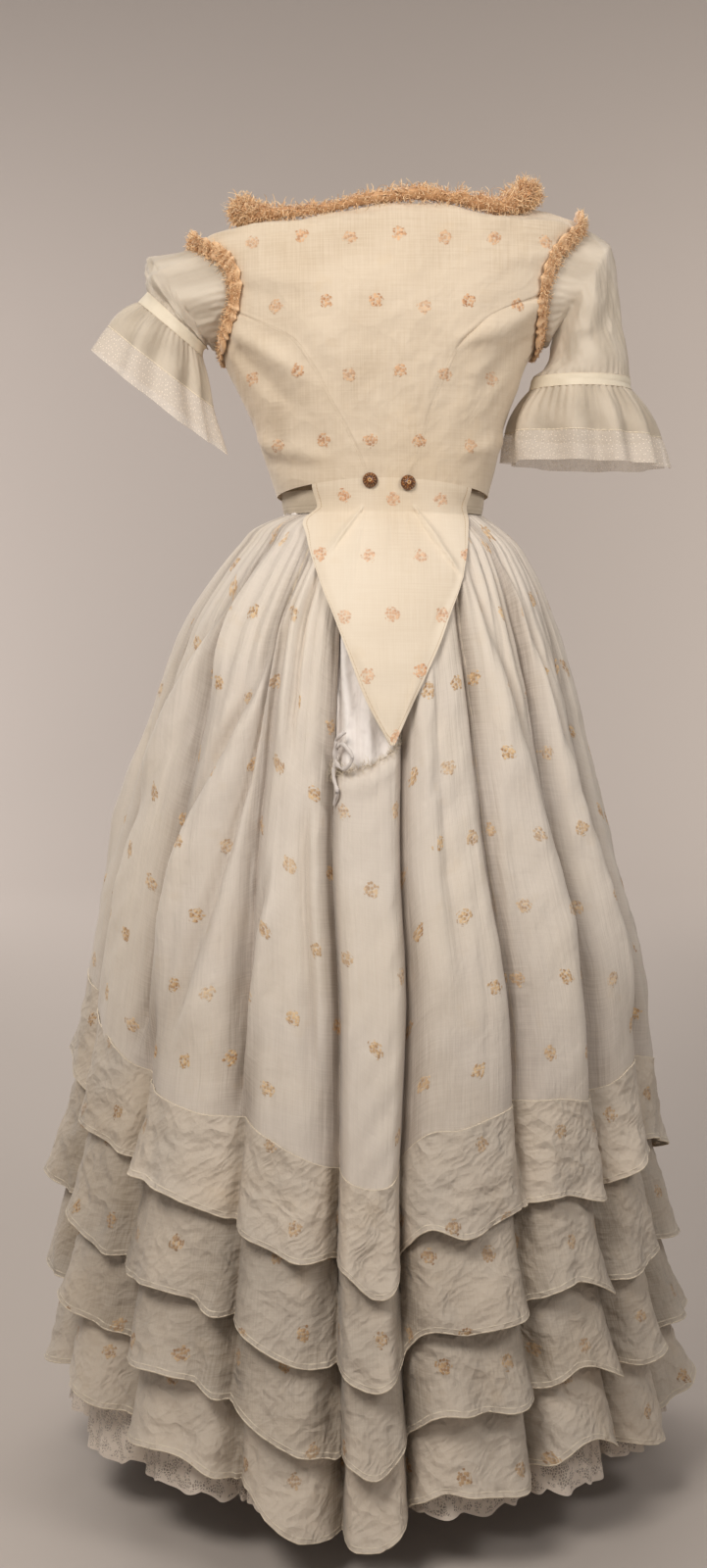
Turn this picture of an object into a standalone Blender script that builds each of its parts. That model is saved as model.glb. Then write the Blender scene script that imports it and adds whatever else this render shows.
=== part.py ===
"""Two-piece dress: short bodice with a pointed back tail, and a gathered skirt with four flounces.

Metres, +Z up. The origin is the centre of the waist. The back of the dress faces -Y, its front +Y.
Angles run round the body in degrees: 0 at the centre back, +90 at the +X side, 180 at the centre front.
Each piece of cloth is a closed wall: an outer face worked out from section tables, and an inner face
one thickness further in.
"""
import math

import bmesh
import bpy
import numpy as np

# Driving dimensions
COTTON = 0.0015          # wall of the bodice, tail, flounces and waistband
MULL = 0.0015            # wall of the skirt widths and the inner skirt
ORGANDIE = 0.0013        # wall of the sleeves, bands, ruffles and net
SEAM_GAP = 0.0003        # clearance between pieces that are sewn together
SQUARENESS = 0.06        # how far the bodice sections stand out beyond an ellipse

# Bodice sections from the waist (level 0) to the neckline (level 10): heights at the centre back, the two
# sides and the centre front, then how far the section reaches to each side, to the back and to the front
BODICE_COLUMNS = ("level", "z_back", "z_left", "z_right", "z_front", "left", "right", "back", "front")
BODICE_ROWS = (
    (0, 0.0245, 0.009, 0.009, -0.006, 0.1150, 0.1140, 0.088, 0.100),
    (1, 0.058, 0.048, 0.049, 0.039, 0.1275, 0.1235, 0.093, 0.112),
    (2, 0.094, 0.086, 0.088, 0.082, 0.1400, 0.1315, 0.100, 0.125),
    (3, 0.125, 0.116, 0.120, 0.117, 0.1540, 0.1430, 0.105, 0.132),
    (4, 0.157, 0.146, 0.150, 0.146, 0.1680, 0.1540, 0.109, 0.133),
    (5, 0.186, 0.170, 0.175, 0.170, 0.1760, 0.1690, 0.111, 0.130),
    (6, 0.220, 0.208, 0.216, 0.196, 0.1850, 0.1880, 0.109, 0.122),
    (7, 0.253, 0.244, 0.258, 0.222, 0.1960, 0.2030, 0.102, 0.112),
    (8, 0.281, 0.275, 0.295, 0.246, 0.2050, 0.2120, 0.094, 0.101),
    (9, 0.299, 0.293, 0.311, 0.260, 0.1800, 0.1860, 0.086, 0.092),
    (10, 0.310, 0.306, 0.321, 0.268, 0.1540, 0.1570, 0.078, 0.083),
)
WAIST_LEVEL, ARM_LOW, ARM_HIGH, NECK_LEVEL = 0, 5, 8, 10
SIDE_SEAM = 92           # angle of the side and shoulder seams
# Neckline: how far its edge drops below the smooth section, and the radius of the silk fringe on it
NECK_COLUMNS = ("degrees", "drop", "radius")
NECK_ROWS = (
    (-180, 0.0000, 0.0080), (-120, 0.0020, 0.0085), (-92, 0.0060, 0.0120), (-69, 0.0140, 0.0160),
    (-55, 0.0150, 0.0113), (-43, 0.0160, 0.0085), (-31, 0.0150, 0.0074), (-20, 0.0125, 0.0070),
    (-9, 0.0075, 0.0082), (2, 0.0043, 0.0095), (14, 0.0034, 0.0095), (26, 0.0067, 0.0095),
    (35, 0.0133, 0.0103), (45, 0.0185, 0.0120), (54, 0.0165, 0.0150), (70, 0.0105, 0.0170),
    (92, 0.0020, 0.0130), (120, 0.0010, 0.0090), (180, 0.0000, 0.0080),
)
DROP_LEVEL = 7           # the drop of the neckline fades out at this level

# Curved seams of the back: level on the bodice and angle from the centre back
PRINCESS_COLUMNS = ("level", "degrees")
PRINCESS_LEFT = ((0.0, 8.5), (0.35, 9.7), (1.33, 15.0), (2.2, 20.4), (3.5, 25.5), (4.65, 34.0), (5.45, 50.0),
                 (5.75, 59.0))
PRINCESS_RIGHT = ((0.0, 12.5), (0.45, 16.0), (1.1, 18.5), (2.1, 22.2), (3.5, 27.5), (4.7, 33.0),
                  (5.4, 40.0), (6.1, 60.0))
PRINCESS_PHASE = {-1: -30.0, 1: -15.5}    # where each seam meets its armhole, round the armhole
ARMHOLE_BACK = {-1: 38.0, 1: 33.0}        # reach of each armhole into the back, in degrees
ARMHOLE_FRONT = 30.0                      # and into the front

# Steps along the seams, shared by the pieces on both sides of a seam
SIDE_STEPS, ARM_BACK_STEPS, ARM_UNDER_STEPS, ARM_FRONT_STEPS, SHOULDER_STEPS = 6, 6, 5, 7, 2
BACK_COLUMNS, SIDE_BACK_COLUMNS, FRONT_COLUMNS = 8, ARM_UNDER_STEPS, 6

# Back tail: height, left edge, left and right pleat lines, right edge (x)
TAIL_COLUMNS = ("z", "left", "pleat_left", "pleat_right", "right")
TAIL_ROWS = (
    (-0.006, -0.070, -0.024, 0.031, 0.088),
    (-0.016, -0.083, -0.031, 0.038, 0.090),
    (-0.036, -0.081, -0.045, 0.053, 0.088),
    (-0.056, -0.076, -0.058, 0.065, 0.085),
    (-0.080, -0.068, -0.055, 0.069, 0.080),
    (-0.115, -0.054, -0.040, 0.052, 0.067),
    (-0.156, -0.038, -0.024, 0.036, 0.051),
    (-0.207, -0.018, -0.009, 0.018, 0.027),
    (-0.243, 0.0035, 0.0050, 0.0070, 0.0085),
)
TAIL_TOP = (-38.5, -10.0, 14.5, 50.5)     # angles of the same four lines along the waist seam
TAIL_STEPS = (4, 5, 4)                    # columns between the four lines
TAIL_GAP = 0.0008                         # clearance below the lower edge of the bodice
TAIL_CLEAR = 0.0035                       # outer face of the tail to the crests of the skirt folds
TAIL_PLEAT = 0.0035                       # how far the two pleats stand up
TAIL_PLEAT_END = -0.085

# Skirt: how far the crests of the folds reach at each height
SKIRT_COLUMNS = ("z", "left", "right", "back", "front")
SKIRT_ROWS = (
    (-0.0108, 0.1075, 0.1075, 0.0825, 0.0940),
    (-0.0240, 0.1380, 0.1260, 0.1000, 0.1080),
    (-0.0420, 0.1560, 0.1470, 0.1180, 0.1220),
    (-0.0640, 0.1750, 0.1620, 0.1370, 0.1350),
    (-0.0930, 0.1970, 0.1770, 0.1600, 0.1500),
    (-0.1250, 0.2180, 0.1900, 0.1780, 0.1630),
    (-0.1620, 0.2340, 0.2030, 0.1950, 0.1760),
    (-0.2000, 0.2470, 0.2140, 0.2080, 0.1870),
    (-0.2500, 0.2620, 0.2260, 0.2220, 0.1980),
    (-0.3600, 0.2930, 0.2520, 0.2500, 0.2180),
    (-0.5000, 0.3220, 0.2900, 0.2830, 0.2420),
    (-0.6000, 0.3370, 0.2990, 0.3010, 0.2550),
    (-0.7000, 0.3490, 0.3040, 0.3150, 0.2650),
    (-0.8000, 0.3550, 0.3110, 0.3260, 0.2720),
    (-0.9300, 0.3520, 0.3180, 0.3360, 0.2780),
    (-1.0100, 0.3500, 0.3180, 0.3410, 0.2800),
)
# Folds in order round the skirt: the valley each starts from, by angle at the band and at the hem, its
# depth against the others, and how broad its crest is
FOLD_RUN = 0.65          # height below the band over which a fold swings to its angle at the hem
FOLD_COLUMNS = ("top", "hem", "depth", "crest")
FOLD_ROWS = (
    (-174.0, -174.0, 0.80, 2.0),
    (-154.0, -154.0, 0.95, 2.4),
    (-134.0, -135.0, 0.80, 2.0),
    (-114.0, -114.0, 1.00, 2.3),
    (-94.0, -93.0, 0.80, 2.0),
    (-72.0, -71.0, 1.00, 2.4),
    (-50.0, -48.0, 1.00, 2.6),
    (-27.5, -23.5, 0.90, 2.6),
    (-11.0, -4.8, 1.25, 5.0),
    (10.0, 6.8, 1.20, 4.5),
    (26.5, 30.0, 1.00, 2.6),
    (49.0, 51.0, 1.00, 2.4),
    (68.0, 68.0, 0.90, 2.2),
    (87.0, 87.0, 0.80, 2.0),
    (107.0, 108.0, 0.95, 2.3),
    (127.0, 127.0, 0.80, 2.0),
    (147.0, 146.0, 1.00, 2.4),
    (166.0, 166.0, 0.85, 2.0),
)
COLUMNS_PER_FOLD = 4
PANEL_FOLD = 8           # the fold that the torn centre-back width forms
# Widths of the skirt and the valleys they run between, from the left front round by the back
GORES = (("skirt_side_left", 3, 7), ("skirt_back_left", 7, 8), ("skirt_back_right", 9, 10),
         ("skirt_side_right", 10, 14), ("skirt_front", 14, 21))
DEPTH_COLUMNS = ("z", "fold", "gather")   # depth of the large folds and of the fine gathers
DEPTH_ROWS = (
    (-0.0108, 0.000, 0.0030),
    (-0.0500, 0.003, 0.0040),
    (-0.1000, 0.007, 0.0035),
    (-0.2000, 0.013, 0.0015),
    (-0.3500, 0.019, 0.0),
    (-0.5000, 0.024, 0.0),
    (-0.6500, 0.028, 0.0),
    (-0.8000, 0.030, 0.0),
    (-1.0100, 0.031, 0.0),
)
SKIRT_TOP = -0.0108
SKIRT_HEIGHTS = (-0.0108, -0.03, -0.06, -0.10, -0.15, -0.225, -0.38)  # level rows of the skirt
LOWER_SHARES = (0.5, 1.0)                 # rows from the last of these down to the seam above the flounces
TORN_EDGE = (-0.277, -0.235)              # upper edge of the torn width, at its left and at its right side
TORN_ROWS = 3                             # rows of the skirt below the torn edge
# Height of the seam above the flounces, of the upper hem and of the lowest hem, by angle at the hem
HEM_COLUMNS = ("degrees", "seam", "first", "last")
HEM_ROWS = (
    (-180.0, -0.545, -0.640, -0.925),
    (-120.0, -0.525, -0.610, -0.925),
    (-88.0, -0.508, -0.592, -0.935),
    (-60.0, -0.555, -0.652, -0.912),
    (-47.0, -0.590, -0.670, -0.934),
    (-31.0, -0.610, -0.690, -0.937),
    (-22.0, -0.616, -0.710, -0.960),
    (-11.0, -0.643, -0.735, -0.996),
    (-4.0, -0.662, -0.740, -1.006),
    (2.0, -0.671, -0.766, -1.007),
    (5.5, -0.664, -0.755, -0.990),
    (9.0, -0.630, -0.716, -0.962),
    (17.0, -0.618, -0.715, -0.956),
    (28.0, -0.603, -0.698, -0.960),
    (36.0, -0.600, -0.690, -0.930),
    (50.0, -0.609, -0.703, -0.962),
    (60.0, -0.588, -0.672, -0.972),
    (88.0, -0.608, -0.705, -0.935),
    (120.0, -0.575, -0.670, -0.925),
    (180.0, -0.545, -0.640, -0.925),
)
# Flounces from the upper one down: where each hem lies between the first and the last, how far it stands
# out from the skirt, and the shares of its height at which it has rows
FLOUNCE_COLUMNS = ("share", "flare")
FLOUNCE_ROWS = ((0.0, 0.012), (0.37, 0.017), (0.69, 0.020), (1.0, 0.010))
FLOUNCE_STEPS = ((0.0, 0.45, 1.0), (0.0, 0.5, 1.0), (0.0, 0.5, 1.0), (0.0, 0.45, 1.0))
FLOUNCE_CLEAR = 0.0012                    # clearance between the upper edge of a flounce and its carrier
FLOUNCE_LAP = 0.024                       # how far a flounce starts above the hem that covers it
UPPER_LAP = 0.006                         # and the upper one above the lower edge of the skirt

# Inner skirt and its lace: heights of the rows and how far each lies inside the outer face of the skirt
INNER_COLUMNS = ("z", "inset")
INNER_ROWS = ((-0.0125, 0.0050), (-0.030, 0.0045), (-0.060, 0.0045), (-0.150, 0.0045), (-0.380, 0.0045),
              (-0.520, 0.0045), (-0.700, 0.0045), (-0.930, 0.0045))
INNER_TOP = (-0.0030, 0.0055)             # height of its upper edge, and how far that lies inside the band
# Widths of the inner skirt and the valleys they run between
INNER_GORES = (("underskirt_side_left", 2, 5), ("underskirt_back_left", 5, 8),
               ("underskirt_back_right", 8, 11), ("underskirt_side_right", 11, 15),
               ("underskirt_front", 15, 20))
LACE_BOTTOM = -0.985
LACE_SCALLOP = 0.007
LACE_FLARE = 0.007

# Waistband: height and reach of its lower and upper edge
BAND_ROWS = ((-0.0105, 0.1075, 0.1075, 0.0825, 0.0940), (0.0135, 0.1103, 0.1103, 0.0845, 0.0960))
BAND_SIDES = 40

# Sleeves: centre of each ring, half-width up and across, and how its axis points: degrees below the level
# and degrees round towards the back
SLEEVE_COLUMNS = ("x", "y", "z", "up", "across", "pitch", "swing")
SLEEVE_LEFT = (
    (-0.2204, -0.010, 0.2173, 0.0546, 0.0580, 34, 2),
    (-0.2209, -0.020, 0.2048, 0.0473, 0.0530, 41, 0),
    (-0.2201, -0.026, 0.1958, 0.0410, 0.0460, 47, -4),
    (-0.2269, -0.030, 0.1850, 0.0425, 0.0457, 50, -4),
    (-0.2355, -0.042, 0.1440, 0.0660, 0.0640, 52, -6),
    (-0.2358, -0.055, 0.1060, 0.0860, 0.0790, 52, -8),
)
SLEEVE_RIGHT = (
    (0.2126, 0.000, 0.2286, 0.0546, 0.0580, 32, 0),
    (0.2156, 0.002, 0.1760, 0.0455, 0.0540, 57, 0),
    (0.2150, 0.004, 0.1370, 0.0515, 0.0570, 90, 0),
    (0.2140, 0.004, 0.1240, 0.0545, 0.0585, 90, 0),
    (0.2175, 0.004, 0.0760, 0.0790, 0.0740, 92, 0),
    (0.2205, 0.004, 0.0440, 0.0830, 0.0790, 92, 0),
)
SLEEVE_COLLAR = 0.0095   # how far a sleeve runs straight out of its armhole, past the trim
SLEEVE_RINGS = 3         # rings of the sleeve itself; the next is the band, then the ruffle and the net
RUFFLE_WAVES = 10
RUFFLE_DEPTH = 0.005
RUFFLE_MIDDLE, RUFFLE_BELL = 0.45, 0.004  # where the ruffle's middle ring lies, and how far it swells out
RUFFLE_GROWTH = (0.0, 0.5, 1.0, 1.2)      # depth of the waves at the band, the middle, the hem, the net's end

# Trims
NECK_STATIONS, NECK_SIDES = 60, 6
NECK_CLEAR = 0.0012
ARM_TRIM_PLEATS = 42
ARM_TRIM_WIDTH, ARM_TRIM_PLEAT = 0.0062, 0.0016   # half-width, and how far each pleat stands beyond it
ARM_TRIM_THICKNESS = 0.0024
ARM_TRIM_PUFF = 0.35     # how much higher every second pleat stands
ARM_TRIM_INSET = 0.0012  # from the edge of the armhole to the trim
ARM_TRIM_CLEAR = 0.0004

# Buttons on the waist seam: x, height, and how far the back of each stands off the oval of the waist
BUTTONS = (("button_left", -0.0145, 0.0215, 0.0014), ("button_right", 0.0245, 0.0190, 0.0023))
BUTTON_RADIUS, BUTTON_HEIGHT, BUTTON_SIDES = 0.0080, 0.0052, 14
# Button profile from the crown to the back: shares of the radius and of the height
BUTTON_PROFILE = ((0.0, 1.0), (0.62, 0.86), (0.94, 0.45), (1.0, 0.18), (0.9, 0.0), (0.0, 0.0))

# Colours: red, green, blue, roughness, metallic
COLOURS = {
    "bodice": (0.74, 0.64, 0.49, 0.85, 0.0),
    "tail": (0.82, 0.72, 0.57, 0.85, 0.0),
    "skirt": (0.66, 0.60, 0.53, 0.85, 0.0),
    "flounce": (0.55, 0.49, 0.42, 0.85, 0.0),
    "inner": (0.78, 0.76, 0.74, 0.85, 0.0),
    "sleeve": (0.62, 0.60, 0.55, 0.70, 0.0),
    "net": (0.60, 0.56, 0.50, 0.80, 0.0),
    "trim": (0.68, 0.42, 0.26, 0.60, 0.0),
    "button": (0.16, 0.05, 0.015, 0.25, 0.0),
}


def as_table(columns, rows):
    """A table as one array for each named column."""
    return {name: np.array([row[i] for row in rows], float) for i, name in enumerate(columns)}


def smooth(xs, ys, x):
    """A smooth curve through the points (xs, ys), read at x. xs rise."""
    slope = np.gradient(ys, xs)
    x = np.clip(x, xs[0], xs[-1])
    i = np.clip(np.searchsorted(xs, x) - 1, 0, len(xs) - 2)
    span = xs[i + 1] - xs[i]
    t = (x - xs[i]) / span
    start = ys[i] * (1 + 2 * t) * (1 - t) ** 2 + slope[i] * span * t * (1 - t) ** 2
    return start + ys[i + 1] * t * t * (3 - 2 * t) + slope[i + 1] * span * t * t * (t - 1)


def falling(table, name, z):
    """A column of a table whose heights run downwards, read at height z."""
    return smooth(-table["z"], table[name], -np.asarray(z, float))


bodice = as_table(BODICE_COLUMNS, BODICE_ROWS)
neck = as_table(NECK_COLUMNS, NECK_ROWS)
skirt = as_table(SKIRT_COLUMNS, SKIRT_ROWS)
folds = as_table(FOLD_COLUMNS, FOLD_ROWS)
depths = as_table(DEPTH_COLUMNS, DEPTH_ROWS)
hems = as_table(HEM_COLUMNS, HEM_ROWS)
flounces = as_table(FLOUNCE_COLUMNS, FLOUNCE_ROWS)
inner = as_table(INNER_COLUMNS, INNER_ROWS)
band = as_table(SKIRT_COLUMNS, BAND_ROWS)
tail = as_table(TAIL_COLUMNS, TAIL_ROWS)
princess = {-1: as_table(PRINCESS_COLUMNS, PRINCESS_LEFT), 1: as_table(PRINCESS_COLUMNS, PRINCESS_RIGHT)}


def oval(degrees, left, right, back, front, squareness=0.0):
    """Points of a level section that reaches left, right, back and front by those amounts."""
    a = np.radians(degrees)
    swell = 1 + squareness * np.sin(2 * a) ** 2
    x = (right - left) / 2 + (right + left) / 2 * np.sin(a) * swell
    y = -np.where(np.cos(a) > 0, back, front) * np.cos(a) * swell
    return x, y


def bodice_point(degrees, level):
    """Outer face of the bodice."""
    degrees, level = np.broadcast_arrays(np.asarray(degrees, float), np.asarray(level, float))
    row = {name: smooth(bodice["level"], bodice[name], level) for name in BODICE_COLUMNS[1:]}
    x, y = oval(degrees, row["left"], row["right"], row["back"], row["front"], SQUARENESS)
    a = np.radians(degrees)
    side = np.where(np.sin(a) < 0, row["z_left"], row["z_right"])
    middle = np.where(np.cos(a) > 0, row["z_back"], row["z_front"])
    z = side + (middle - side) * np.cos(a) ** 2
    share = np.clip((level - DROP_LEVEL) / (NECK_LEVEL - DROP_LEVEL), 0, 1)
    z = z - share * smooth(neck["degrees"], neck["drop"], (degrees + 180) % 360 - 180)
    return np.stack([x, y, z], axis=-1)


def unit(vectors):
    return vectors / np.linalg.norm(vectors, axis=-1, keepdims=True)


def bodice_normal(degrees, level):
    """Outward direction of the bodice's face, from points close by."""
    step_round, step_up = 0.5, 0.02
    low, high = np.maximum(level - step_up, 0), np.minimum(level + step_up, NECK_LEVEL)
    across = bodice_point(degrees + step_round, level) - bodice_point(degrees - step_round, level)
    upward = bodice_point(degrees, high) - bodice_point(degrees, low)
    return unit(np.cross(across, upward))


def armhole(side, phase):
    """Place on the bodice of a point of the armhole: phase -90 underarm, 0 back, 90 top, 180 front."""
    p = np.radians(phase)
    reach = np.where(np.cos(p) > 0, ARMHOLE_BACK[side], ARMHOLE_FRONT)
    middle, half = (ARM_LOW + ARM_HIGH) / 2, (ARM_HIGH - ARM_LOW) / 2
    return np.stack([side * (SIDE_SEAM - reach * np.cos(p)), middle + half * np.sin(p)], axis=-1)


def armhole_phases(side):
    """Phases of the points round the armhole, from its top by the back and the underarm to the front."""
    meet = PRINCESS_PHASE[side]
    back = np.linspace(90, meet, ARM_BACK_STEPS, endpoint=False)
    under = np.linspace(meet, -90, ARM_UNDER_STEPS, endpoint=False)
    front = np.linspace(-90, -270, ARM_FRONT_STEPS, endpoint=False)
    return np.concatenate([back, under, front])


def princess_line(side):
    """Points of the curved back seam on the bodice, from the waist to the armhole."""
    top = armhole(side, PRINCESS_PHASE[side])
    level = np.linspace(WAIST_LEVEL, top[1], SIDE_STEPS + 1)
    table = princess[side]
    degrees = side * smooth(table["level"], table["degrees"], level)
    degrees[-1] = top[0]
    return np.stack([degrees, level], axis=-1)


def straight_line(start, end, steps):
    return np.linspace(start, end, steps + 1)


def ruled(left, right, steps):
    """Grid of places on the bodice between two edges with as many points each."""
    share = np.linspace(0, 1, steps + 1)[None, :, None]
    return left[:, None, :] * (1 - share) + right[:, None, :] * share


def pull_in(points, edges):
    """Draw the named edges of a grid back by half a seam gap, towards the next row or column."""
    half = SEAM_GAP / 2
    if "left" in edges:
        points[:, 0] += half * unit(points[:, 1] - points[:, 0])
    if "right" in edges:
        points[:, -1] += half * unit(points[:, -2] - points[:, -1])
    if "bottom" in edges:
        points[0] += half * unit(points[1] - points[0])
    if "top" in edges:
        points[-1] += half * unit(points[-2] - points[-1])
    return points


def new_material(kind):
    material = bpy.data.materials.get(kind) or bpy.data.materials.new(kind)
    material.use_nodes = True
    red, green, blue, roughness, metallic = COLOURS[kind]
    shader = material.node_tree.nodes["Principled BSDF"]
    shader.inputs["Base Color"].default_value = (red, green, blue, 1)
    shader.inputs["Roughness"].default_value = roughness
    shader.inputs["Metallic"].default_value = metallic
    return material


def add_piece(name, mesh, kind):
    piece = bpy.data.objects.new(name, mesh)
    mesh.materials.append(new_material(kind))
    dress.objects.link(piece)
    return piece


def mesh_from(name, points, faces):
    mesh = bpy.data.meshes.new(name)
    mesh.from_pydata([tuple(p) for p in points], [], faces)
    made = bmesh.new()
    made.from_mesh(mesh)
    bmesh.ops.recalc_face_normals(made, faces=made.faces)
    made.to_mesh(mesh)
    made.free()
    return mesh


def cloth_wall(name, outside, inside, kind, closed=False):
    """A wall between two grids of points. closed joins the last column to the first."""
    rows, columns = outside.shape[:2]
    points = np.concatenate([outside.reshape(-1, 3), inside.reshape(-1, 3)])
    shift = rows * columns

    def at(i, j, face=0):
        return face * shift + i * columns + j % columns

    faces = []
    for j in range(columns if closed else columns - 1):
        for i in range(rows - 1):
            cell = ((i, j), (i, j + 1), (i + 1, j + 1), (i + 1, j))
            corner = [points[at(*place)] for place in cell]
            start = int(np.linalg.norm(corner[0] - corner[2]) > np.linalg.norm(corner[1] - corner[3]))
            a, b, c, d = (cell[(start + k) % 4] for k in range(4))
            for one, two, three in ((a, b, c), (a, c, d)):
                faces.append((at(*one), at(*two), at(*three)))
                faces.append((at(*one, 1), at(*three, 1), at(*two, 1)))
        faces.append((at(0, j, 1), at(0, j + 1, 1), at(0, j + 1), at(0, j)))
        last = rows - 1
        faces.append((at(last, j), at(last, j + 1), at(last, j + 1, 1), at(last, j, 1)))
    if not closed:
        end = columns - 1
        for i in range(rows - 1):
            faces.append((at(i, 0, 1), at(i, 0), at(i + 1, 0), at(i + 1, 0, 1)))
            faces.append((at(i, end), at(i, end, 1), at(i + 1, end, 1), at(i + 1, end)))
    return add_piece(name, mesh_from(name, points, faces), kind)


def ring_tube(name, sections, kind):
    """A closed loop of sections, each with as many points, as one solid."""
    stations, sides = sections.shape[:2]
    faces = []
    for i in range(stations):
        for j in range(sides):
            k, m = (i + 1) % stations, (j + 1) % sides
            faces.append((i * sides + j, i * sides + m, k * sides + m, k * sides + j))
    return add_piece(name, mesh_from(name, sections.reshape(-1, 3), faces), kind)


def bodice_wall(name, places, edges):
    """A piece of the bodice from its grid of places: columns of angle and level."""
    degrees, level = places[..., 0], places[..., 1]
    outside = bodice_point(degrees, level)
    inside = outside - COTTON * bodice_normal(degrees, level)
    return cloth_wall(name, pull_in(outside, edges), pull_in(inside, edges), "bodice")


def bodice_back_centre():
    sides = {}
    for side in (-1, 1):
        arm = armhole(side, np.linspace(PRINCESS_PHASE[side], 90, ARM_BACK_STEPS + 1))
        shoulder = straight_line((side * SIDE_SEAM, ARM_HIGH), (side * SIDE_SEAM, NECK_LEVEL), SHOULDER_STEPS)
        sides[side] = np.concatenate([princess_line(side), arm[1:], shoulder[1:]])
    bodice_wall("bodice_back_centre", ruled(sides[-1], sides[1], BACK_COLUMNS), ("left", "right"))


def bodice_side_back(name, side):
    seam = princess_line(side)
    outer = straight_line((side * SIDE_SEAM, WAIST_LEVEL), (side * SIDE_SEAM, ARM_LOW), SIDE_STEPS)
    grid = ruled(seam, outer, SIDE_BACK_COLUMNS)
    under = armhole(side, np.linspace(PRINCESS_PHASE[side], -90, ARM_UNDER_STEPS + 1))
    droop = under - grid[-1]
    grid += np.linspace(0, 1, SIDE_STEPS + 1)[:, None, None] ** 2 * droop[None]
    bodice_wall(name, grid, ("left", "right"))


def bodice_front(name, side):
    seam = straight_line((side * SIDE_SEAM, WAIST_LEVEL), (side * SIDE_SEAM, ARM_LOW), SIDE_STEPS)
    arm = armhole(side, np.linspace(-90, -270, ARM_FRONT_STEPS + 1))
    shoulder = straight_line((side * SIDE_SEAM, ARM_HIGH), (side * SIDE_SEAM, NECK_LEVEL), SHOULDER_STEPS)
    outer = np.concatenate([seam, arm[1:], shoulder[1:]])
    middle = np.stack([np.full(len(outer), side * 180.0), outer[:, 1]], axis=-1)
    bodice_wall(name, ruled(outer, middle, FRONT_COLUMNS), ("left", "right"))


def envelope(z):
    """Reach of the crests of the skirt's folds at height z: left, right, back, front."""
    return [falling(skirt, name, z) for name in SKIRT_COLUMNS[1:]]


def back_tail():
    """The pointed tail, hung from the waist seam and lying on the skirt."""
    rows = len(TAIL_ROWS) + 1
    lines = [np.concatenate([[0.0], tail[name]]) for name in TAIL_COLUMNS[1:]]
    share, crest, top_angles = [], [], []
    for strip, steps in enumerate(TAIL_STEPS):
        for k in range(steps):
            share.append((strip, k / steps))
            crest.append(1.0 if k == 0 and strip > 0 else 0.0)
            top_angles.append(TAIL_TOP[strip] + (TAIL_TOP[strip + 1] - TAIL_TOP[strip]) * k / steps)
    share.append((len(TAIL_STEPS) - 1, 1.0))
    crest.append(0.0)
    top_angles.append(TAIL_TOP[-1])
    outside = np.zeros((rows, len(share), 3))
    normals = np.zeros_like(outside)
    outside[0] = bodice_point(np.array(top_angles), WAIST_LEVEL) - [0, 0, TAIL_GAP]
    waist = bodice_point(np.array([90.0, 0.0]), WAIST_LEVEL)
    normals[0] = level_normal(outside[0], 0.0, waist[0, 0], -waist[1, 1])
    for i in range(1, rows):
        z = tail["z"][i - 1]
        left, right, back, _ = envelope(z)
        half = max(waist[0, 0], (left + right) / 2 + TAIL_CLEAR)
        depth = max(-waist[1, 1], back + TAIL_CLEAR)
        centre = (right - left) / 2
        x = np.array([lines[b][i] * (1 - t) + lines[b + 1][i] * t for b, t in share])
        y = -depth * np.sqrt(1 - ((x - centre) / half) ** 2)
        outside[i] = np.stack([x, y, np.full_like(x, z)], axis=-1)
        normals[i] = level_normal(outside[i], centre, half, depth)
        if z > TAIL_PLEAT_END:
            outside[i] += TAIL_PLEAT * np.array(crest)[:, None] * normals[i]
    outside = outside[::-1]
    normals = normals[::-1]
    return cloth_wall("back_tail", outside, outside - COTTON * normals, "tail")


def level_normal(points, centre, half, depth):
    """Outward direction, level, of an oval section."""
    direction = np.zeros_like(points)
    direction[..., 0] = (points[..., 0] - centre) / half ** 2
    direction[..., 1] = points[..., 1] / depth ** 2
    return unit(direction)


def fold_columns():
    """For each column round the skirt: its angle at the band and at the hem, its depth, and its gather."""
    top, hem, depth, gather = [], [], [], []
    count = len(FOLD_ROWS)
    for i in range(count):
        next_turn = 360 if i == count - 1 else 0
        top_width = folds["top"][(i + 1) % count] + next_turn - folds["top"][i]
        hem_width = folds["hem"][(i + 1) % count] + next_turn - folds["hem"][i]
        for k in range(COLUMNS_PER_FOLD):
            share = k / COLUMNS_PER_FOLD
            top.append(folds["top"][i] + share * top_width)
            hem.append(folds["hem"][i] + share * hem_width)
            depth.append(folds["depth"][i] * abs(math.cos(math.pi * share)) ** folds["crest"][i])
            gather.append(float(len(gather) % 2))
    return np.array(top), np.array(hem), np.array(depth), np.array(gather)


column_top, column_hem, column_depth, column_gather = fold_columns()
hem_place = (column_hem + 180) % 360 - 180
seam_height = smooth(hems["degrees"], hems["seam"], hem_place)
first_hem = smooth(hems["degrees"], hems["first"], hem_place)
last_hem = smooth(hems["degrees"], hems["last"], hem_place)


def skirt_ring(z, proud=0.0):
    """One row of points round the skirt at heights z (one for each column), standing proud of it."""
    left, right, back, front = envelope(z)
    down = np.clip((SKIRT_TOP - z) / FOLD_RUN, 0, 1)
    degrees = column_top + (column_hem - column_top) * down
    depth = falling(depths, "fold", z) * column_depth + falling(depths, "gather", z) * column_gather
    move = proud - depth
    x, y = oval(degrees, left + move, right + move, back + move, front + move)
    return np.stack([x, y, np.broadcast_to(z, x.shape)], axis=-1)


def ring_normals(points):
    """Level outward directions of rows of points that close round the body."""
    along = np.roll(points, -1, axis=-2) - np.roll(points, 1, axis=-2)
    return unit(np.stack([along[..., 1], -along[..., 0], np.zeros_like(along[..., 0])], axis=-1))


def sheet_normals(rows):
    """Outward directions of a grid of rows, from the top down, that close round the body."""
    along = np.roll(rows, -1, axis=1) - np.roll(rows, 1, axis=1)
    return unit(np.cross(np.gradient(rows, axis=0), along))


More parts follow.
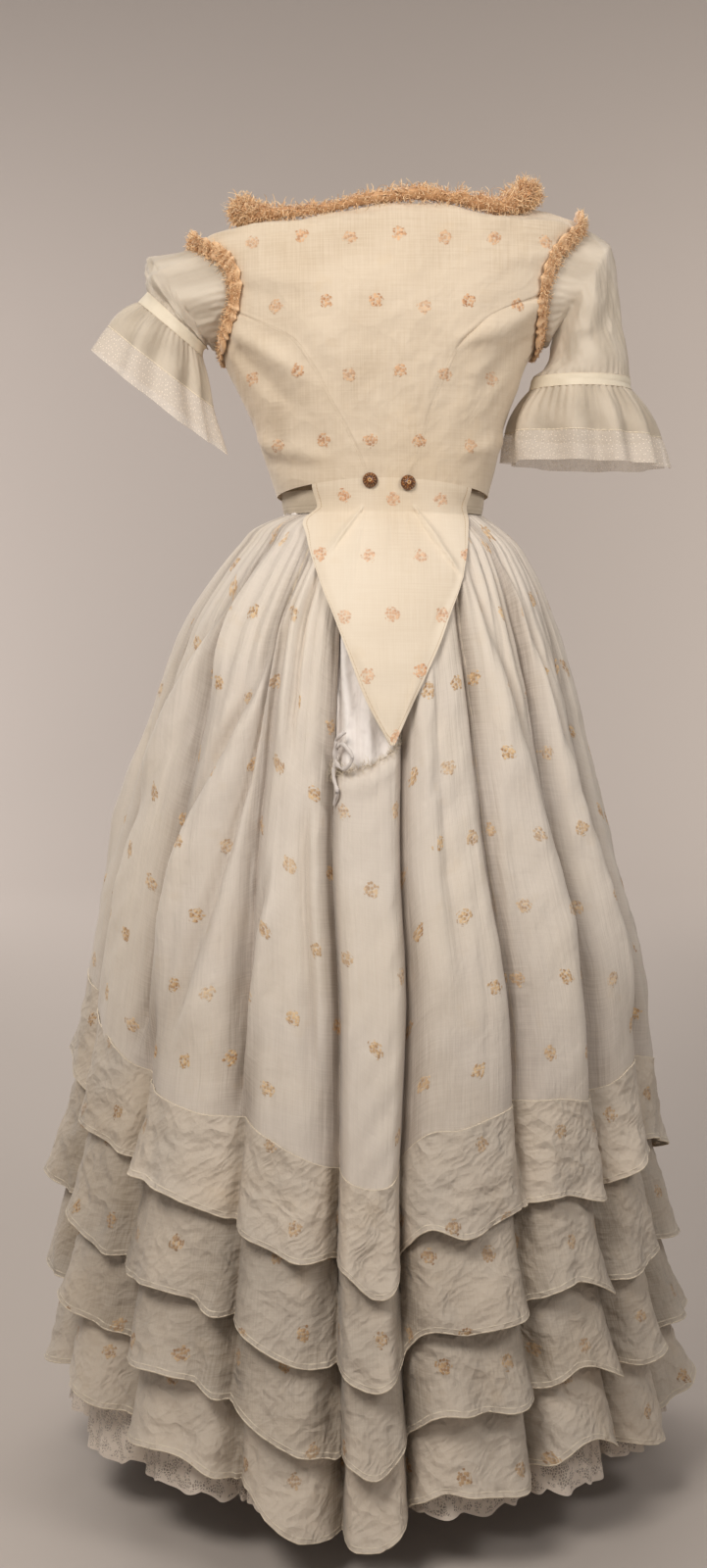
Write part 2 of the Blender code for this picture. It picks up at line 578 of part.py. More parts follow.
def skirt_rows(steps, start, end, proud):
    """Rows from height start down to end, one value for each column, each row proud by its amount."""
    return np.array([skirt_ring(start + (end - start) * s, p) for s, p in zip(steps, proud)])


def on_surface(rows, z):
    """Points at heights z on the flat faces between rows that run from the top down."""
    z = np.broadcast_to(z, rows.shape[1:2])
    low = np.argmax(rows[:, :, 2] <= z, axis=0)
    column = np.arange(rows.shape[1])
    above, below = rows[low - 1, column], rows[low, column]
    share = (above[:, 2] - z) / (above[:, 2] - below[:, 2])
    return above + share[:, None] * (below - above)


def gore(name, outside, inside, first_fold, last_fold, kind="skirt"):
    """One width of a skirt, between two valleys."""
    columns = np.arange(first_fold * COLUMNS_PER_FOLD, last_fold * COLUMNS_PER_FOLD + 1) % len(column_top)
    edges = ("left", "right")
    face, back = outside[::-1, columns].copy(), inside[::-1, columns].copy()
    return cloth_wall(name, pull_in(face, edges), pull_in(back, edges), kind)


def outer_rows():
    """Rows of the skirt's outer face, from the band down to the seam above the flounces."""
    level = [skirt_ring(np.full(len(column_top), z)) for z in SKIRT_HEIGHTS]
    lower = [skirt_ring(SKIRT_HEIGHTS[-1] + (seam_height - SKIRT_HEIGHTS[-1]) * s) for s in LOWER_SHARES]
    return np.array(level + lower)


def inner_rows():
    """Rows of the inner skirt's outer face, from inside the band down to its lace."""
    skirt_face = np.array([skirt_ring(np.full(len(column_top), height)) for height in inner["z"]])
    below = skirt_face - inner["inset"][:, None, None] * ring_normals(skirt_face)
    top = band_ring(INNER_TOP[0], -INNER_TOP[1], column_top)
    return np.concatenate([top[None], below])


def skirt_widths():
    outside = outer_rows()
    inside = outside - MULL * sheet_normals(outside)
    for name, first, last in GORES:
        gore(name, outside, inside, first, last)
    across = np.arange(len(column_top)) / COLUMNS_PER_FOLD - PANEL_FOLD
    torn = TORN_EDGE[0] + (TORN_EDGE[1] - TORN_EDGE[0]) * np.clip(across, 0, 1)
    sagging = np.concatenate([on_surface(outside, torn)[None], outside[-TORN_ROWS:]])
    inside = np.concatenate([on_surface(inside, torn)[None], inside[-TORN_ROWS:]])
    gore("skirt_back_panel", sagging, inside, PANEL_FOLD, PANEL_FOLD + 1)


def flounce(number):
    """One flounce: its upper edge sewn on, its hem standing out."""
    hem = first_hem + (last_hem - first_hem) * flounces["share"][number]
    if number == 0:
        top, carrier = seam_height + UPPER_LAP, outer_rows()
    else:
        covering = first_hem + (last_hem - first_hem) * flounces["share"][number - 1]
        top, carrier = covering + FLOUNCE_LAP, inner_rows()
    steps = np.array(FLOUNCE_STEPS[number])
    outside = skirt_rows(steps, top, hem, flounces["flare"][number] * steps)
    sewn = on_surface(carrier, top)
    outside[0] = sewn + (FLOUNCE_CLEAR + COTTON) * ring_normals(sewn)
    inside = outside - COTTON * sheet_normals(outside)
    cloth_wall(f"flounce_{number + 1}", outside[::-1], inside[::-1], "flounce", closed=True)


def inner_skirt():
    """The widths of the white inner skirt that carries the lower flounces."""
    outside = inner_rows()
    inside = outside - MULL * sheet_normals(outside)
    for name, first, last in INNER_GORES:
        gore(name, outside, inside, first, last, "inner")


def lace_edge():
    """The gathered lace below the inner skirt, with a scalloped edge."""
    top = np.full(len(column_top), inner["z"][-1] - SEAM_GAP)
    bottom = LACE_BOTTOM + LACE_SCALLOP * column_gather
    inset = inner["inset"][-1]
    outside = skirt_rows((0.0, 1.0), top, bottom, (-inset, LACE_FLARE - inset))
    inside = outside - ORGANDIE * ring_normals(outside)
    cloth_wall("underskirt_lace", outside[::-1], inside[::-1], "net", closed=True)


def band_ring(z, proud, degrees):
    """A row of points on the waistband at height z."""
    low, high = band["z"]
    share = (z - low) / (high - low)
    reach = [band[name][0] + (band[name][1] - band[name][0]) * share + proud for name in SKIRT_COLUMNS[1:]]
    x, y = oval(degrees, *reach)
    return np.stack([x, y, np.full_like(x, z)], axis=-1)


def waistband():
    degrees = np.linspace(-180, 180, BAND_SIDES, endpoint=False)
    outside = np.array([band_ring(z, 0.0, degrees) for z in band["z"]])
    inside = outside - COTTON * ring_normals(outside)
    cloth_wall("waistband", outside, inside, "inner", closed=True)


def sleeve_axes(row, side):
    """The axis of a sleeve ring, and its directions towards the top and the back of the arm."""
    pitch, swing = math.radians(row["pitch"]), math.radians(row["swing"])
    axis = np.array([side * math.cos(pitch) * math.cos(swing), -math.cos(pitch) * math.sin(swing),
                     -math.sin(pitch)])
    top = np.array([side * math.sin(pitch) * math.cos(swing), -math.sin(pitch) * math.sin(swing),
                    math.cos(pitch)])
    return axis, top, side * np.cross(axis, top)


def sleeve_ring(row, side, turn, grow=0.0, shift=0.0):
    """Points round a sleeve ring at the angles turn: 0 top of the arm, 90 back, 180 underarm."""
    axis, top, back = sleeve_axes(row, side)
    centre = np.array([row["x"], row["y"], row["z"]]) + shift * axis
    t = np.radians(turn)[:, None]
    grow = np.reshape(grow, (-1, 1)) * np.ones_like(t)
    return centre + top * (row["up"] + grow) * np.cos(t) + back * (row["across"] + grow) * np.sin(t)


def sleeve(label, side, rows):
    """A sleeve with its band, gathered ruffle and net edging."""
    table = as_table(SLEEVE_COLUMNS, rows)
    rings = [{name: table[name][i] for name in SLEEVE_COLUMNS} for i in range(len(rows))]
    phases = armhole_phases(side)
    turn = 90 - phases
    place = armhole(side, phases)
    edge = bodice_point(place[:, 0], place[:, 1])
    middle = edge.mean(axis=0)
    toward = unit(middle - edge)
    straight_out = unit(bodice_normal(place[:, 0], place[:, 1]).mean(axis=0)) * SLEEVE_COLLAR
    first = edge + SEAM_GAP * toward
    outside = [first, first + straight_out]
    inside = [first + ORGANDIE * toward, first + ORGANDIE * toward + straight_out]
    outside += [sleeve_ring(ring, side, turn) for ring in rings[:SLEEVE_RINGS]]
    inside += [sleeve_ring(ring, side, turn, -ORGANDIE) for ring in rings[:SLEEVE_RINGS]]
    cloth_wall(f"sleeve_{label}", np.array(outside), np.array(inside), "sleeve", closed=True)

    cuff = rings[SLEEVE_RINGS - 1:SLEEVE_RINGS + 1]
    gaps = (SEAM_GAP, 0.0)
    outside = [sleeve_ring(ring, side, turn, 0.0, gap) for ring, gap in zip(cuff, gaps)]
    inside = [sleeve_ring(ring, side, turn, -ORGANDIE, gap) for ring, gap in zip(cuff, gaps)]
    cloth_wall(f"sleeve_band_{label}", np.array(outside), np.array(inside), "sleeve", closed=True)

    columns = 4 * RUFFLE_WAVES
    turn = np.arange(columns) * 360 / columns
    wave = np.cos(np.radians(turn * RUFFLE_WAVES))
    top, hem, end = rings[SLEEVE_RINGS:]
    between = {name: top[name] + RUFFLE_MIDDLE * (hem[name] - top[name]) for name in SLEEVE_COLUMNS}
    between["up"] += RUFFLE_BELL
    between["across"] += RUFFLE_BELL
    stations = list(zip((top, between, hem, end), RUFFLE_GROWTH))
    parts = (("sleeve_ruffle", "sleeve", stations[:3]), ("sleeve_net", "net", stations[2:]))
    for name, kind, steps in parts:
        outside, inside = [], []
        for i, (ring, depth) in enumerate(steps):
            swell = RUFFLE_DEPTH * depth * wave
            gap = SEAM_GAP if i == 0 else 0.0
            outside.append(sleeve_ring(ring, side, turn, swell, gap))
            inside.append(sleeve_ring(ring, side, turn, swell - ORGANDIE, gap))
        cloth_wall(f"{name}_{label}", np.array(outside), np.array(inside), kind, closed=True)


def neck_trim():
    """The thick silk fringe round the neckline, with a tuft near each shoulder."""
    degrees = np.linspace(-180, 180, NECK_STATIONS, endpoint=False)
    radius = smooth(neck["degrees"], neck["radius"], degrees)
    edge = bodice_point(degrees, NECK_LEVEL)
    out = ring_normals(edge)
    centre = edge + np.stack([0 * radius, 0 * radius, radius + NECK_CLEAR], axis=-1) - out * COTTON / 2
    turn = np.radians(np.arange(NECK_SIDES) * 360 / NECK_SIDES + 90)
    sections = (centre[:, None] + radius[:, None, None] * (
        out[:, None] * np.cos(turn)[None, :, None] + np.array([0, 0, 1.0]) * np.sin(turn)[None, :, None]))
    ring_tube("neck_trim", sections, "trim")


def armhole_trim(label, side):
    """The pleated ribbon round an armhole, lying on the bodice beside the seam."""
    stations = 2 * ARM_TRIM_PLEATS
    phase = np.linspace(-90, 270, stations, endpoint=False)
    place = armhole(side, phase)
    edge = bodice_point(place[:, 0], place[:, 1])
    normal = bodice_normal(place[:, 0], place[:, 1])
    along = unit(np.roll(edge, -1, axis=0) - np.roll(edge, 1, axis=0))
    away = unit(np.cross(along, normal))
    middle = edge.mean(axis=0)
    away *= np.sign(np.sum(away * (edge - middle), axis=-1))[:, None]
    width = ARM_TRIM_WIDTH + ARM_TRIM_PLEAT * (np.arange(stations) % 2)
    centre = edge + away * (ARM_TRIM_WIDTH + ARM_TRIM_INSET) + normal * (ARM_TRIM_CLEAR + ARM_TRIM_THICKNESS)
    lift = ARM_TRIM_THICKNESS
    sections = np.stack([
        centre - away * ARM_TRIM_WIDTH,
        centre + normal * lift * (1 + ARM_TRIM_PUFF * (np.arange(stations) % 2))[:, None],
        centre + away * width[:, None],
        centre - normal * lift,
    ], axis=1)
    ring_tube(f"armhole_trim_{label}", sections, "trim")


def button(name, x, z, clear):
    """A domed button: a turned profile, standing on the tail at the waist."""
    mesh = bpy.data.meshes.new(name)
    edges = [(i, i + 1) for i in range(len(BUTTON_PROFILE) - 1)]
    mesh.from_pydata([(r * BUTTON_RADIUS, 0.0, h * BUTTON_HEIGHT) for r, h in BUTTON_PROFILE], edges, [])
    piece = add_piece(name, mesh, "button")
    screw = piece.modifiers.new("turn", "SCREW")
    screw.steps = screw.render_steps = BUTTON_SIDES
    screw.use_merge_vertices = True
    screw.merge_threshold = 0.00001
    waist = bodice_point(np.array([90.0, 0.0]), WAIST_LEVEL)
    half, depth = waist[0, 0], -waist[1, 1]
    y = -depth * math.sqrt(1 - (x / half) ** 2)
    out = level_normal(np.array([x, y, z]), 0.0, half, depth)
    piece.rotation_euler = (math.radians(90), 0, math.atan2(out[0], -out[1]))
    piece.location = (x + clear * out[0], y + clear * out[1], z)


for leftover in list(bpy.data.objects):
    bpy.data.objects.remove(leftover, do_unlink=True)
dress = bpy.data.collections.new("two_piece_dress")
bpy.context.scene.collection.children.link(dress)

bodice_back_centre()
for side_label, side_sign, sleeve_rows in (("left", -1, SLEEVE_LEFT), ("right", 1, SLEEVE_RIGHT)):
    bodice_side_back(f"bodice_side_back_{side_label}", side_sign)
    bodice_front(f"bodice_front_{side_label}", side_sign)
    sleeve(side_label, side_sign, sleeve_rows)
    armhole_trim(side_label, side_sign)
back_tail()
neck_trim()
for button_row in BUTTONS:
    button(*button_row)
waistband()
skirt_widths()
for flounce_number in range(len(FLOUNCE_ROWS)):
    flounce(flounce_number)
inner_skirt()
lace_edge()
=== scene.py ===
# Two-piece dress seen from the back: cream cotton bodice with a pointed tail, gathered skirt, four flounces.
import math
from functools import partial

import bmesh
import bpy
import numpy as np
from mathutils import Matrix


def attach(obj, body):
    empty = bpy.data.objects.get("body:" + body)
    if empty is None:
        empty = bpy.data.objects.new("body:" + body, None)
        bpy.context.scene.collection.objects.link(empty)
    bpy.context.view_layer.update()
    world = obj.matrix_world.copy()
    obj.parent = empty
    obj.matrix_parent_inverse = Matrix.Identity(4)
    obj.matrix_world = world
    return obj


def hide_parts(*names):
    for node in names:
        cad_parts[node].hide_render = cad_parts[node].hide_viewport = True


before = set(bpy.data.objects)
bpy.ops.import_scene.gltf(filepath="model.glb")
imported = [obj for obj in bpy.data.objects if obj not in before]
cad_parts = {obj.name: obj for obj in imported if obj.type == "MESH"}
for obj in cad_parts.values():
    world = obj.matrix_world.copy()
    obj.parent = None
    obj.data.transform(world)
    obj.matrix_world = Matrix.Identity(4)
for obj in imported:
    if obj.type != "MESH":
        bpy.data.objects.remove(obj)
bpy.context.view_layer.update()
rng = np.random.default_rng(7)
fullTurn = 2 * math.pi
nearTurn = 6.283  # a full turn to three decimals, for ripples and weaves


# maths shared by the pieces
def columnsOf(names, rows):
    return dict(zip(names, np.array(rows, float).T))


def curveThrough(xs, ys, x):  # smooth curve through points, xs rising
    slope = np.gradient(ys, xs)
    x = np.clip(x, xs[0], xs[-1])
    i = np.clip(np.searchsorted(xs, x) - 1, 0, len(xs) - 2)
    span = xs[i + 1] - xs[i]
    t = (x - xs[i]) / span
    start = ys[i] * (1 + 2 * t) * (1 - t) ** 2 + slope[i] * span * t * (1 - t) ** 2
    return start + ys[i + 1] * t * t * (3 - 2 * t) + slope[i + 1] * span * t * t * (t - 1)


def falling(table, name, z):  # the same for a table that runs downwards
    return curveThrough(-table["z"], table[name], -np.asarray(z, float))


def xyz(x, y, z):
    return np.stack(np.broadcast_arrays(x, y, z), axis=-1)


def unit(vectors):
    return vectors / np.maximum(np.linalg.norm(vectors, axis=-1, keepdims=True), 1e-9)


def ripple(a, b, seed, count=7):  # smooth uneven waves of about -1 to 1, a and b in waves
    pick = np.random.default_rng(seed)
    total = 0.0
    for _ in range(count):
        turn, reach, start = pick.uniform(0, nearTurn), pick.uniform(0.5, 1.6), pick.uniform(0, nearTurn)
        total = total + np.sin(nearTurn * reach * (a * math.cos(turn) + b * math.sin(turn)) + start)
    return total / count ** 0.5 / 1.3


def crumpled(a, b, seed):  # sharp creases of crushed cloth
    return 0.6 - np.abs(ripple(a, b, seed, 5)) - 0.5 * np.abs(ripple(2.3 * a, 2.3 * b, seed + 1, 5))


def easing(low, high, x):
    t = np.clip((x - low) / (high - low), 0, 1)
    return t * t * (3 - 2 * t)


def hill(x, wide):
    return np.exp(-(x / wide) ** 2)


def oval(degrees, left, right, back, front, squareness=0.0):
    a = np.radians(degrees)
    swell = 1 + squareness * np.sin(2 * a) ** 2
    x = (right - left) / 2 + (right + left) / 2 * np.sin(a) * swell
    y = -np.where(np.cos(a) > 0, back, front) * np.cos(a) * swell
    return x, y


# meshes from a flat grid
def pointsOf(mesh):
    points = np.zeros(len(mesh.vertices) * 3)
    mesh.vertices.foreach_get("co", points)
    return points.reshape(-1, 3)


def setPoints(mesh, points):
    mesh.vertices.foreach_set("co", points.astype(np.float32).ravel())


def gridMesh(name, columns, rows, spare=None):  # the grid, and how far across and down it each point lies
    bm = bmesh.new()
    bmesh.ops.create_grid(bm, x_segments=columns, y_segments=rows, size=0.5)
    if spare:
        unwanted = [face for face in bm.faces if spare(face.calc_center_median().y + 0.5)]
        bmesh.ops.delete(bm, geom=unwanted, context="FACES")
    mesh = bpy.data.meshes.new(name)
    bm.to_mesh(mesh)
    bm.free()
    u, v, _ = np.round(pointsOf(mesh) + 0.5, 6).T
    return mesh, u, v


def mapCloth(mesh, across, down):  # each point's place on the flat cloth, in metres
    corner = np.zeros(len(mesh.loops), np.int32)
    mesh.loops.foreach_get("vertex_index", corner)
    flatMap = mesh.uv_layers.new(name="cut")
    places = np.stack([across, down], axis=-1)[corner]
    flatMap.data.foreach_set("uv", places.astype(np.float32).ravel())


def markPoints(mesh, **values):
    for label, value in values.items():
        layer = mesh.attributes.new(label, "FLOAT", "POINT")
        layer.data.foreach_set("value", (np.zeros(len(mesh.vertices)) + value).astype(np.float32))


def addObject(name, data):
    made = bpy.data.objects.new(name, data)
    bpy.context.scene.collection.objects.link(made)
    return made


def addPiece(name, mesh, material, replaced=()):
    piece = addObject(name, mesh)
    mesh.materials.append(material)
    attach(piece, "root")
    if replaced:
        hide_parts(*replaced)
    return piece


# place gives the points, and may give the painted shading and tone, how much the cloth is stretched, and how
# near an edge is
def clothPiece(name, grid, place, look, wall=0.0007, closed=False, flip=False, replaced=()):
    mesh, u, v = gridMesh(name, *grid)
    made = place(u, v)
    setPoints(mesh, made["points"])
    mapCloth(mesh, made["across"], made["down"])
    markPoints(mesh, tone=made.get("tone", 0.0), stretch=made.get("stretch", 1.0), edge=made.get("edge", 1.0))
    bm = bmesh.new()
    bm.from_mesh(mesh)
    if flip:
        bmesh.ops.reverse_faces(bm, faces=bm.faces)
    if closed:
        bmesh.ops.remove_doubles(bm, verts=bm.verts, dist=0.00002)
    for face in bm.faces:
        face.smooth = True
    for edge in bm.edges:  # cut edges stay sharp when the wall is added
        edge.smooth = not edge.is_boundary
    bm.to_mesh(mesh)
    bm.free()
    piece = addPiece(name, mesh, cloths[look], replaced)
    if wall:
        solid = piece.modifiers.new("wall", "SOLIDIFY")
        solid.thickness, solid.offset = wall, -1


def cordAlong(name, points, radius, look, closed=True, sides=6):
    count, columns = len(points), len(points) if closed else len(points) - 1
    ahead = np.roll(points, -1, axis=0) - np.roll(points, 1, axis=0)
    if not closed:
        ahead[0], ahead[-1] = points[1] - points[0], points[-1] - points[-2]
    ahead = unit(ahead)
    side = unit(np.cross(ahead, np.array([0.02, 0.03, 1.0])))
    up = np.cross(side, ahead)
    length = np.concatenate([[0], np.cumsum(np.linalg.norm(np.diff(points, axis=0), axis=1))])
    radius = radius * np.ones(count)

    def place(u, v):
        at, turn = np.rint(u * columns).astype(int) % count, v * fullTurn
        out = side[at] * np.cos(turn)[:, None] + up[at] * np.sin(turn)[:, None]
        return {"points": points[at] + radius[at][:, None] * out, "across": length[at], "down": v * 0.006}

    clothPiece(name, (columns, sides), place, look, wall=0, closed=True, flip=True)


# materials
def tint(colour):  # screen colour 0 to 255 as the shader wants it
    return tuple(c / 12.92 if c <= 0.04045 else ((c + 0.055) / 1.055) ** 2.4
                 for c in (level / 255 for level in colour)) + (1.0,)


class Value:  # a shader output that takes part in sums as a number does
    def __init__(self, wire, socket):
        self.wire, self.socket = wire, socket

    def __add__(self, other):
        return self.wire.sum("ADD", self, other)

    def __sub__(self, other):
        return self.wire.sum("SUBTRACT", self, other)

    def __mul__(self, other):
        return self.wire.sum("MULTIPLY", self, other)

    def __truediv__(self, other):
        return self.wire.sum("DIVIDE", self, other)

    def __rtruediv__(self, other):
        return self.wire.sum("DIVIDE", other, self)


class Wiring:
    def __init__(self, tree):
        self.tree = tree

    def feed(self, made, values):
        for key, value in values.items():
            if isinstance(value, Value):
                self.tree.links.new(value.socket, made.inputs[key])
            else:
                made.inputs[key].default_value = value

    def node(self, kind, values=None, outputs=(0,), **settings):
        made = self.tree.nodes.new(kind)
        for key, value in settings.items():
            setattr(made, key, value)
        self.feed(made, values or {})
        results = [Value(self, made.outputs[key]) for key in outputs]
        return results if len(results) > 1 else results[0]

    def sum(self, operation, *numbers):
        return self.node("ShaderNodeMath", dict(enumerate(numbers)), operation=operation)

    def between(self, value, low, high, first=0.0, last=1.0):
        values = {"Value": value, "From Min": low, "From Max": high, "To Min": first, "To Max": last}
        return self.node("ShaderNodeMapRange", values, interpolation_type="SMOOTHSTEP")

    def mix(self, share, first, second):
        return self.node("ShaderNodeMix", {0: share, 6: first, 7: second}, (2,), data_type="RGBA")

    def noise(self, where, scale, detail=2.0, roughness=0.5, way="3D"):
        values = {"Vector": where, "Scale": scale, "Detail": detail, "Roughness": roughness}
        return self.node("ShaderNodeTexNoise", values, noise_dimensions=way)

    def cells(self, where, scale, randomness=1.0, feature="F1", outputs=("Distance",)):
        values = {"Vector": where, "Scale": scale, "Randomness": randomness}
        return self.node("ShaderNodeTexVoronoi", values, outputs, voronoi_dimensions="2D", feature=feature)

    def cut(self):  # place on the flat cloth, in metres
        return self.node("ShaderNodeUVMap", uv_map="cut")

    def spot(self):  # place in the room
        return self.node("ShaderNodeTexCoord", outputs=("Object",))

    def marked(self, name):
        return self.node("ShaderNodeAttribute", outputs=("Fac",), attribute_name=name)

    def apart(self, vector):
        return self.node("ShaderNodeSeparateXYZ", {0: vector}, (0, 1, 2))

    def joined(self, x, y, z=0.0):
        return self.node("ShaderNodeCombineXYZ", {0: x, 1: y, 2: z})

    def group(self, tree, values=None):
        labels = [item.name for item in tree.interface.items_tree if item.in_out == "OUTPUT"]
        return self.node("ShaderNodeGroup", values, labels, node_tree=tree)

    def finish(self, **results):  # a group's outputs
        for label in results:
            self.tree.interface.new_socket(name=label, in_out="OUTPUT", socket_type="NodeSocketFloat")
        self.feed(self.tree.nodes.new("NodeGroupOutput"), results)
        return self.tree


def startGroup(name, inputs):
    tree = bpy.data.node_groups.new(name, "ShaderNodeTree")
    for label in inputs:
        tree.interface.new_socket(name=label, in_out="INPUT", socket_type="NodeSocketFloat")
    wire = Wiring(tree)
    given = tree.nodes.new("NodeGroupInput").outputs
    return wire, {label: Value(wire, given[label]) for label in inputs}


threadLook = {"count": 1100.0, "fine": 700.0, "long": 22.0}


def threadGroup():  # woven threads with uneven thicker ones
    wire, _ = startGroup("wovenThreads", ())
    across, down, _ = wire.apart(wire.cut())
    warp, weft = [wire.sum("SINE", place * (threadLook["count"] * nearTurn)) for place in (across, down)]
    fine, long = threadLook["fine"], threadLook["long"]
    upright = wire.noise(wire.joined(across * fine, down * long), 1.0, way="2D")
    level = wire.noise(wire.joined(across * long, down * fine), 1.0, way="2D")
    slubs = upright + level * 0.8
    return wire.finish(Height=warp * weft * 0.25 + slubs, Shade=wire.between(slubs, 0.5, 1.3))


sprigLook = {"Across": 0.0505, "Down": 0.0695, "Shift Across": 0.0, "Shift Down": 0.0, "Size": 0.0082,
             "Keep": 1.0}
dabLook = {"Scale": 350.0, "Randomness": 0.85, "step": (0.37, 0.73)}


def sprigGroup():  # small woven flowers on a half-drop lattice
    wire, given = startGroup("wovenSprigs", sprigLook)
    across, down, _ = wire.apart(wire.cut())
    downAt = (down + given["Shift Down"]) / given["Down"]
    row = wire.sum("FLOOR", downAt)
    acrossAt = (across + given["Shift Across"]) / given["Across"] + wire.sum("FLOORED_MODULO", row, 2.0) * 0.5
    column = wire.sum("FLOOR", acrossAt)
    cell = {"Vector": wire.joined(column, row, 3.7)}
    chance, strays = wire.node("ShaderNodeTexWhiteNoise", cell, ("Value", "Color"))
    aside, lower, _ = wire.apart(strays)
    stretch = wire.marked("stretch")
    x = (acrossAt - column - (aside * 0.12 + 0.44)) * given["Across"] * stretch
    y = (downAt - row - (lower * 0.1 + 0.45)) * given["Down"]
    far = wire.sum("SQRT", x * x + y * y)
    where = wire.joined(x + column * dabLook["step"][0], y + row * dabLook["step"][1])
    off, colour = wire.cells(where, dabLook["Scale"], dabLook["Randomness"], outputs=("Distance", "Color"))
    light, uneven, _ = wire.apart(colour)
    flower = wire.between(given["Size"] * (uneven * 0.42 + 0.62) - far, -0.0003, 0.0005)
    dab = wire.between(off, 0.60, 0.40, 0.25, 1.0)
    kept = wire.sum("LESS_THAN", chance, given["Keep"] * wire.between(stretch, 0.15, 1.0, 0.3, 1.0))
    return wire.finish(Mask=flower * dab * kept * (lower * 0.35 + 0.65), Light=light * 0.9 + aside * 0.15)


# facets of the crumpled cloth: how many to a metre, how they are turned (radians), how deep
facetSizes = ((17.0, 0.75, 0.8), (31.0, -0.5, 0.65), (66.0, 1.0, 0.42), (140.0, -0.9, 0.2))


def creaseGroup():  # facets that meet in sharp lines
    wire, given = startGroup("washedCreases", ("Size", "Fine", "Crinkle", "Long"))
    across, down, _ = wire.apart(wire.cut())
    stray = (wire.noise(wire.spot(), 16.0, 3.0, 0.55) - 0.5) * 0.05
    longer = down * given["Long"]
    height = wire.noise(wire.spot(), 8.0 / given["Size"]) * 0.8
    for scale, turn, amount in facetSizes:
        ahead = across * math.cos(turn) + longer * math.sin(turn)
        aside = longer * math.cos(turn) - across * math.sin(turn)
        facets = wire.cells(wire.joined(ahead + stray, aside * 0.5 + stray), scale / given["Size"])
        height = height + facets * amount
    upright = wire.noise(wire.joined(across * 170.0, down * 5.0), 1.0, 3.0, 0.6, "2D")
    small = wire.noise(wire.spot(), 150.0, 3.0, 0.6) * given["Fine"]
    return wire.finish(Height=height + upright * given["Crinkle"] + small * 0.12)


def stainGroup():  # soft yellowing in places
    wire, given = startGroup("oldStains", ("Amount",))
    wide = wire.between(wire.noise(wire.spot(), 5.0, 3.0, 0.6), 0.52, 0.75)
    small = wire.between(wire.noise(wire.spot(), 34.0), 0.62, 0.74)
    return wire.finish(Mask=(wide + small * 0.5) * given["Amount"])


def stitchGroup():  # a stitched line beside an edge, at Inset metres from it
    wire, given = startGroup("stitchedLine", ("Inset", "Width", "Dashes"))
    across, down, _ = wire.apart(wire.cut())
    off = wire.sum("ABSOLUTE", wire.marked("edge") - given["Inset"])
    wave = wire.sum("SINE", (across + down) * (given["Dashes"] * nearTurn))
    dash = wire.between(wave, -0.9, 0.1, 0.35, 1.0)
    return wire.finish(Line=wire.between(off, given["Width"] * 1.4, 0.0) * dash)


threads, sprigs, creases = threadGroup(), sprigGroup(), creaseGroup()
stains, stitches = stainGroup(), stitchGroup()


def newMaterial(name):
    material = bpy.data.materials.new(name)
    material.use_nodes = True
    return material, Wiring(material.node_tree), material.node_tree.nodes["Principled BSDF"]


def clothMaterial(name, look):
    look = {**plainLook, **look}
    material, wire, shader = newMaterial(name)
    wire.feed(shader, {"Roughness": look["roughness"], "Specular IOR Level": look["specular"],
                       "Alpha": look["alpha"], "Sheen Weight": look["sheen"], "Sheen Roughness": 0.5})
    lit, shaded, blotched, thread = [tint(colour) for colour in look["tones"]]
    weave, slubs = wire.group(threads)
    # the shading-and-tone mark mixes the painted shaded and painted lit colours: painted light and shade from
    # each piece, with random tone
    colour = wire.mix(wire.between(wire.marked("tone"), -1.0, 1.0), shaded, lit)
    blotch = wire.between(wire.noise(wire.spot(), look["blotch"], 3.0, 0.55), 0.35, 0.7)
    colour = wire.mix(blotch * look["uneven"], colour, blotched)
    colour = wire.mix(slubs * look["slubShade"], colour, thread)
    if look["stain"]:
        colour = wire.mix(wire.group(stains, {"Amount": look["stain"]}), colour, tint(look["stainColour"]))
    folds = wire.group(creases, {label: look[label] for label in ("Size", "Fine", "Crinkle", "Long")})
    height = weave * look["weave"] + folds * look["crease"]
    for inset, width in look["stitch"]:
        line = wire.group(stitches, {"Inset": inset, "Width": width, "Dashes": look["dashes"]})
        colour = wire.mix(line * look["stitchShade"], colour, tint(look["stitchColour"]))
        height = height + line * look["stitchHeight"]
    if look["sprig"]:
        mask, light = wire.group(sprigs, {**sprigLook, **look["sprig"]})
        floss = wire.mix(light, tint(look["flossDark"]), tint(look["flossLight"]))
        colour = wire.mix(mask * look["sprigShade"], colour, floss)
        height = height + mask * look["sprigHeight"]
    bump = wire.node("ShaderNodeBump", {"Strength": look["bump"], "Distance": 1.0, "Height": height})
    wire.feed(shader, {"Base Color": colour, "Normal": bump})
    if look["holes"]:
        wire.feed(shader, {"Alpha": look["holes"](wire)})
    return material


netLook = {"mesh": 640.0, "dots": 210.0, "thread": 0.36, "dot": 0.72}
laceLook = {"loops": 330.0, "flowers": 95.0, "ground": 0.30, "thread": 0.65, "rim": (0.004, 0.002)}


def netHoles(wire):  # fine net with darned dots
    across, down, _ = wire.apart(wire.cut())
    warp, weft = [wire.sum("SINE", place * (nearTurn * netLook["mesh"])) for place in (across, down)]
    dot = wire.between(wire.cells(wire.cut(), netLook["dots"], 0.75), 0.20, 0.12)
    return wire.sum("MAXIMUM", warp * weft * 0.12 + netLook["thread"], dot * netLook["dot"])


def laceHoles(wire):  # flowers and loops in cotton lace
    ring = wire.between(wire.cells(wire.cut(), laceLook["loops"], feature="DISTANCE_TO_EDGE"), 0.22, 0.08)
    flower = wire.between(wire.noise(wire.cut(), laceLook["flowers"], way="2D"), 0.46, 0.56)
    rim = wire.between(wire.marked("edge"), *laceLook["rim"])
    pattern = wire.sum("MAXIMUM", wire.sum("MAXIMUM", ring, flower), rim)
    return pattern * laceLook["thread"] + laceLook["ground"]


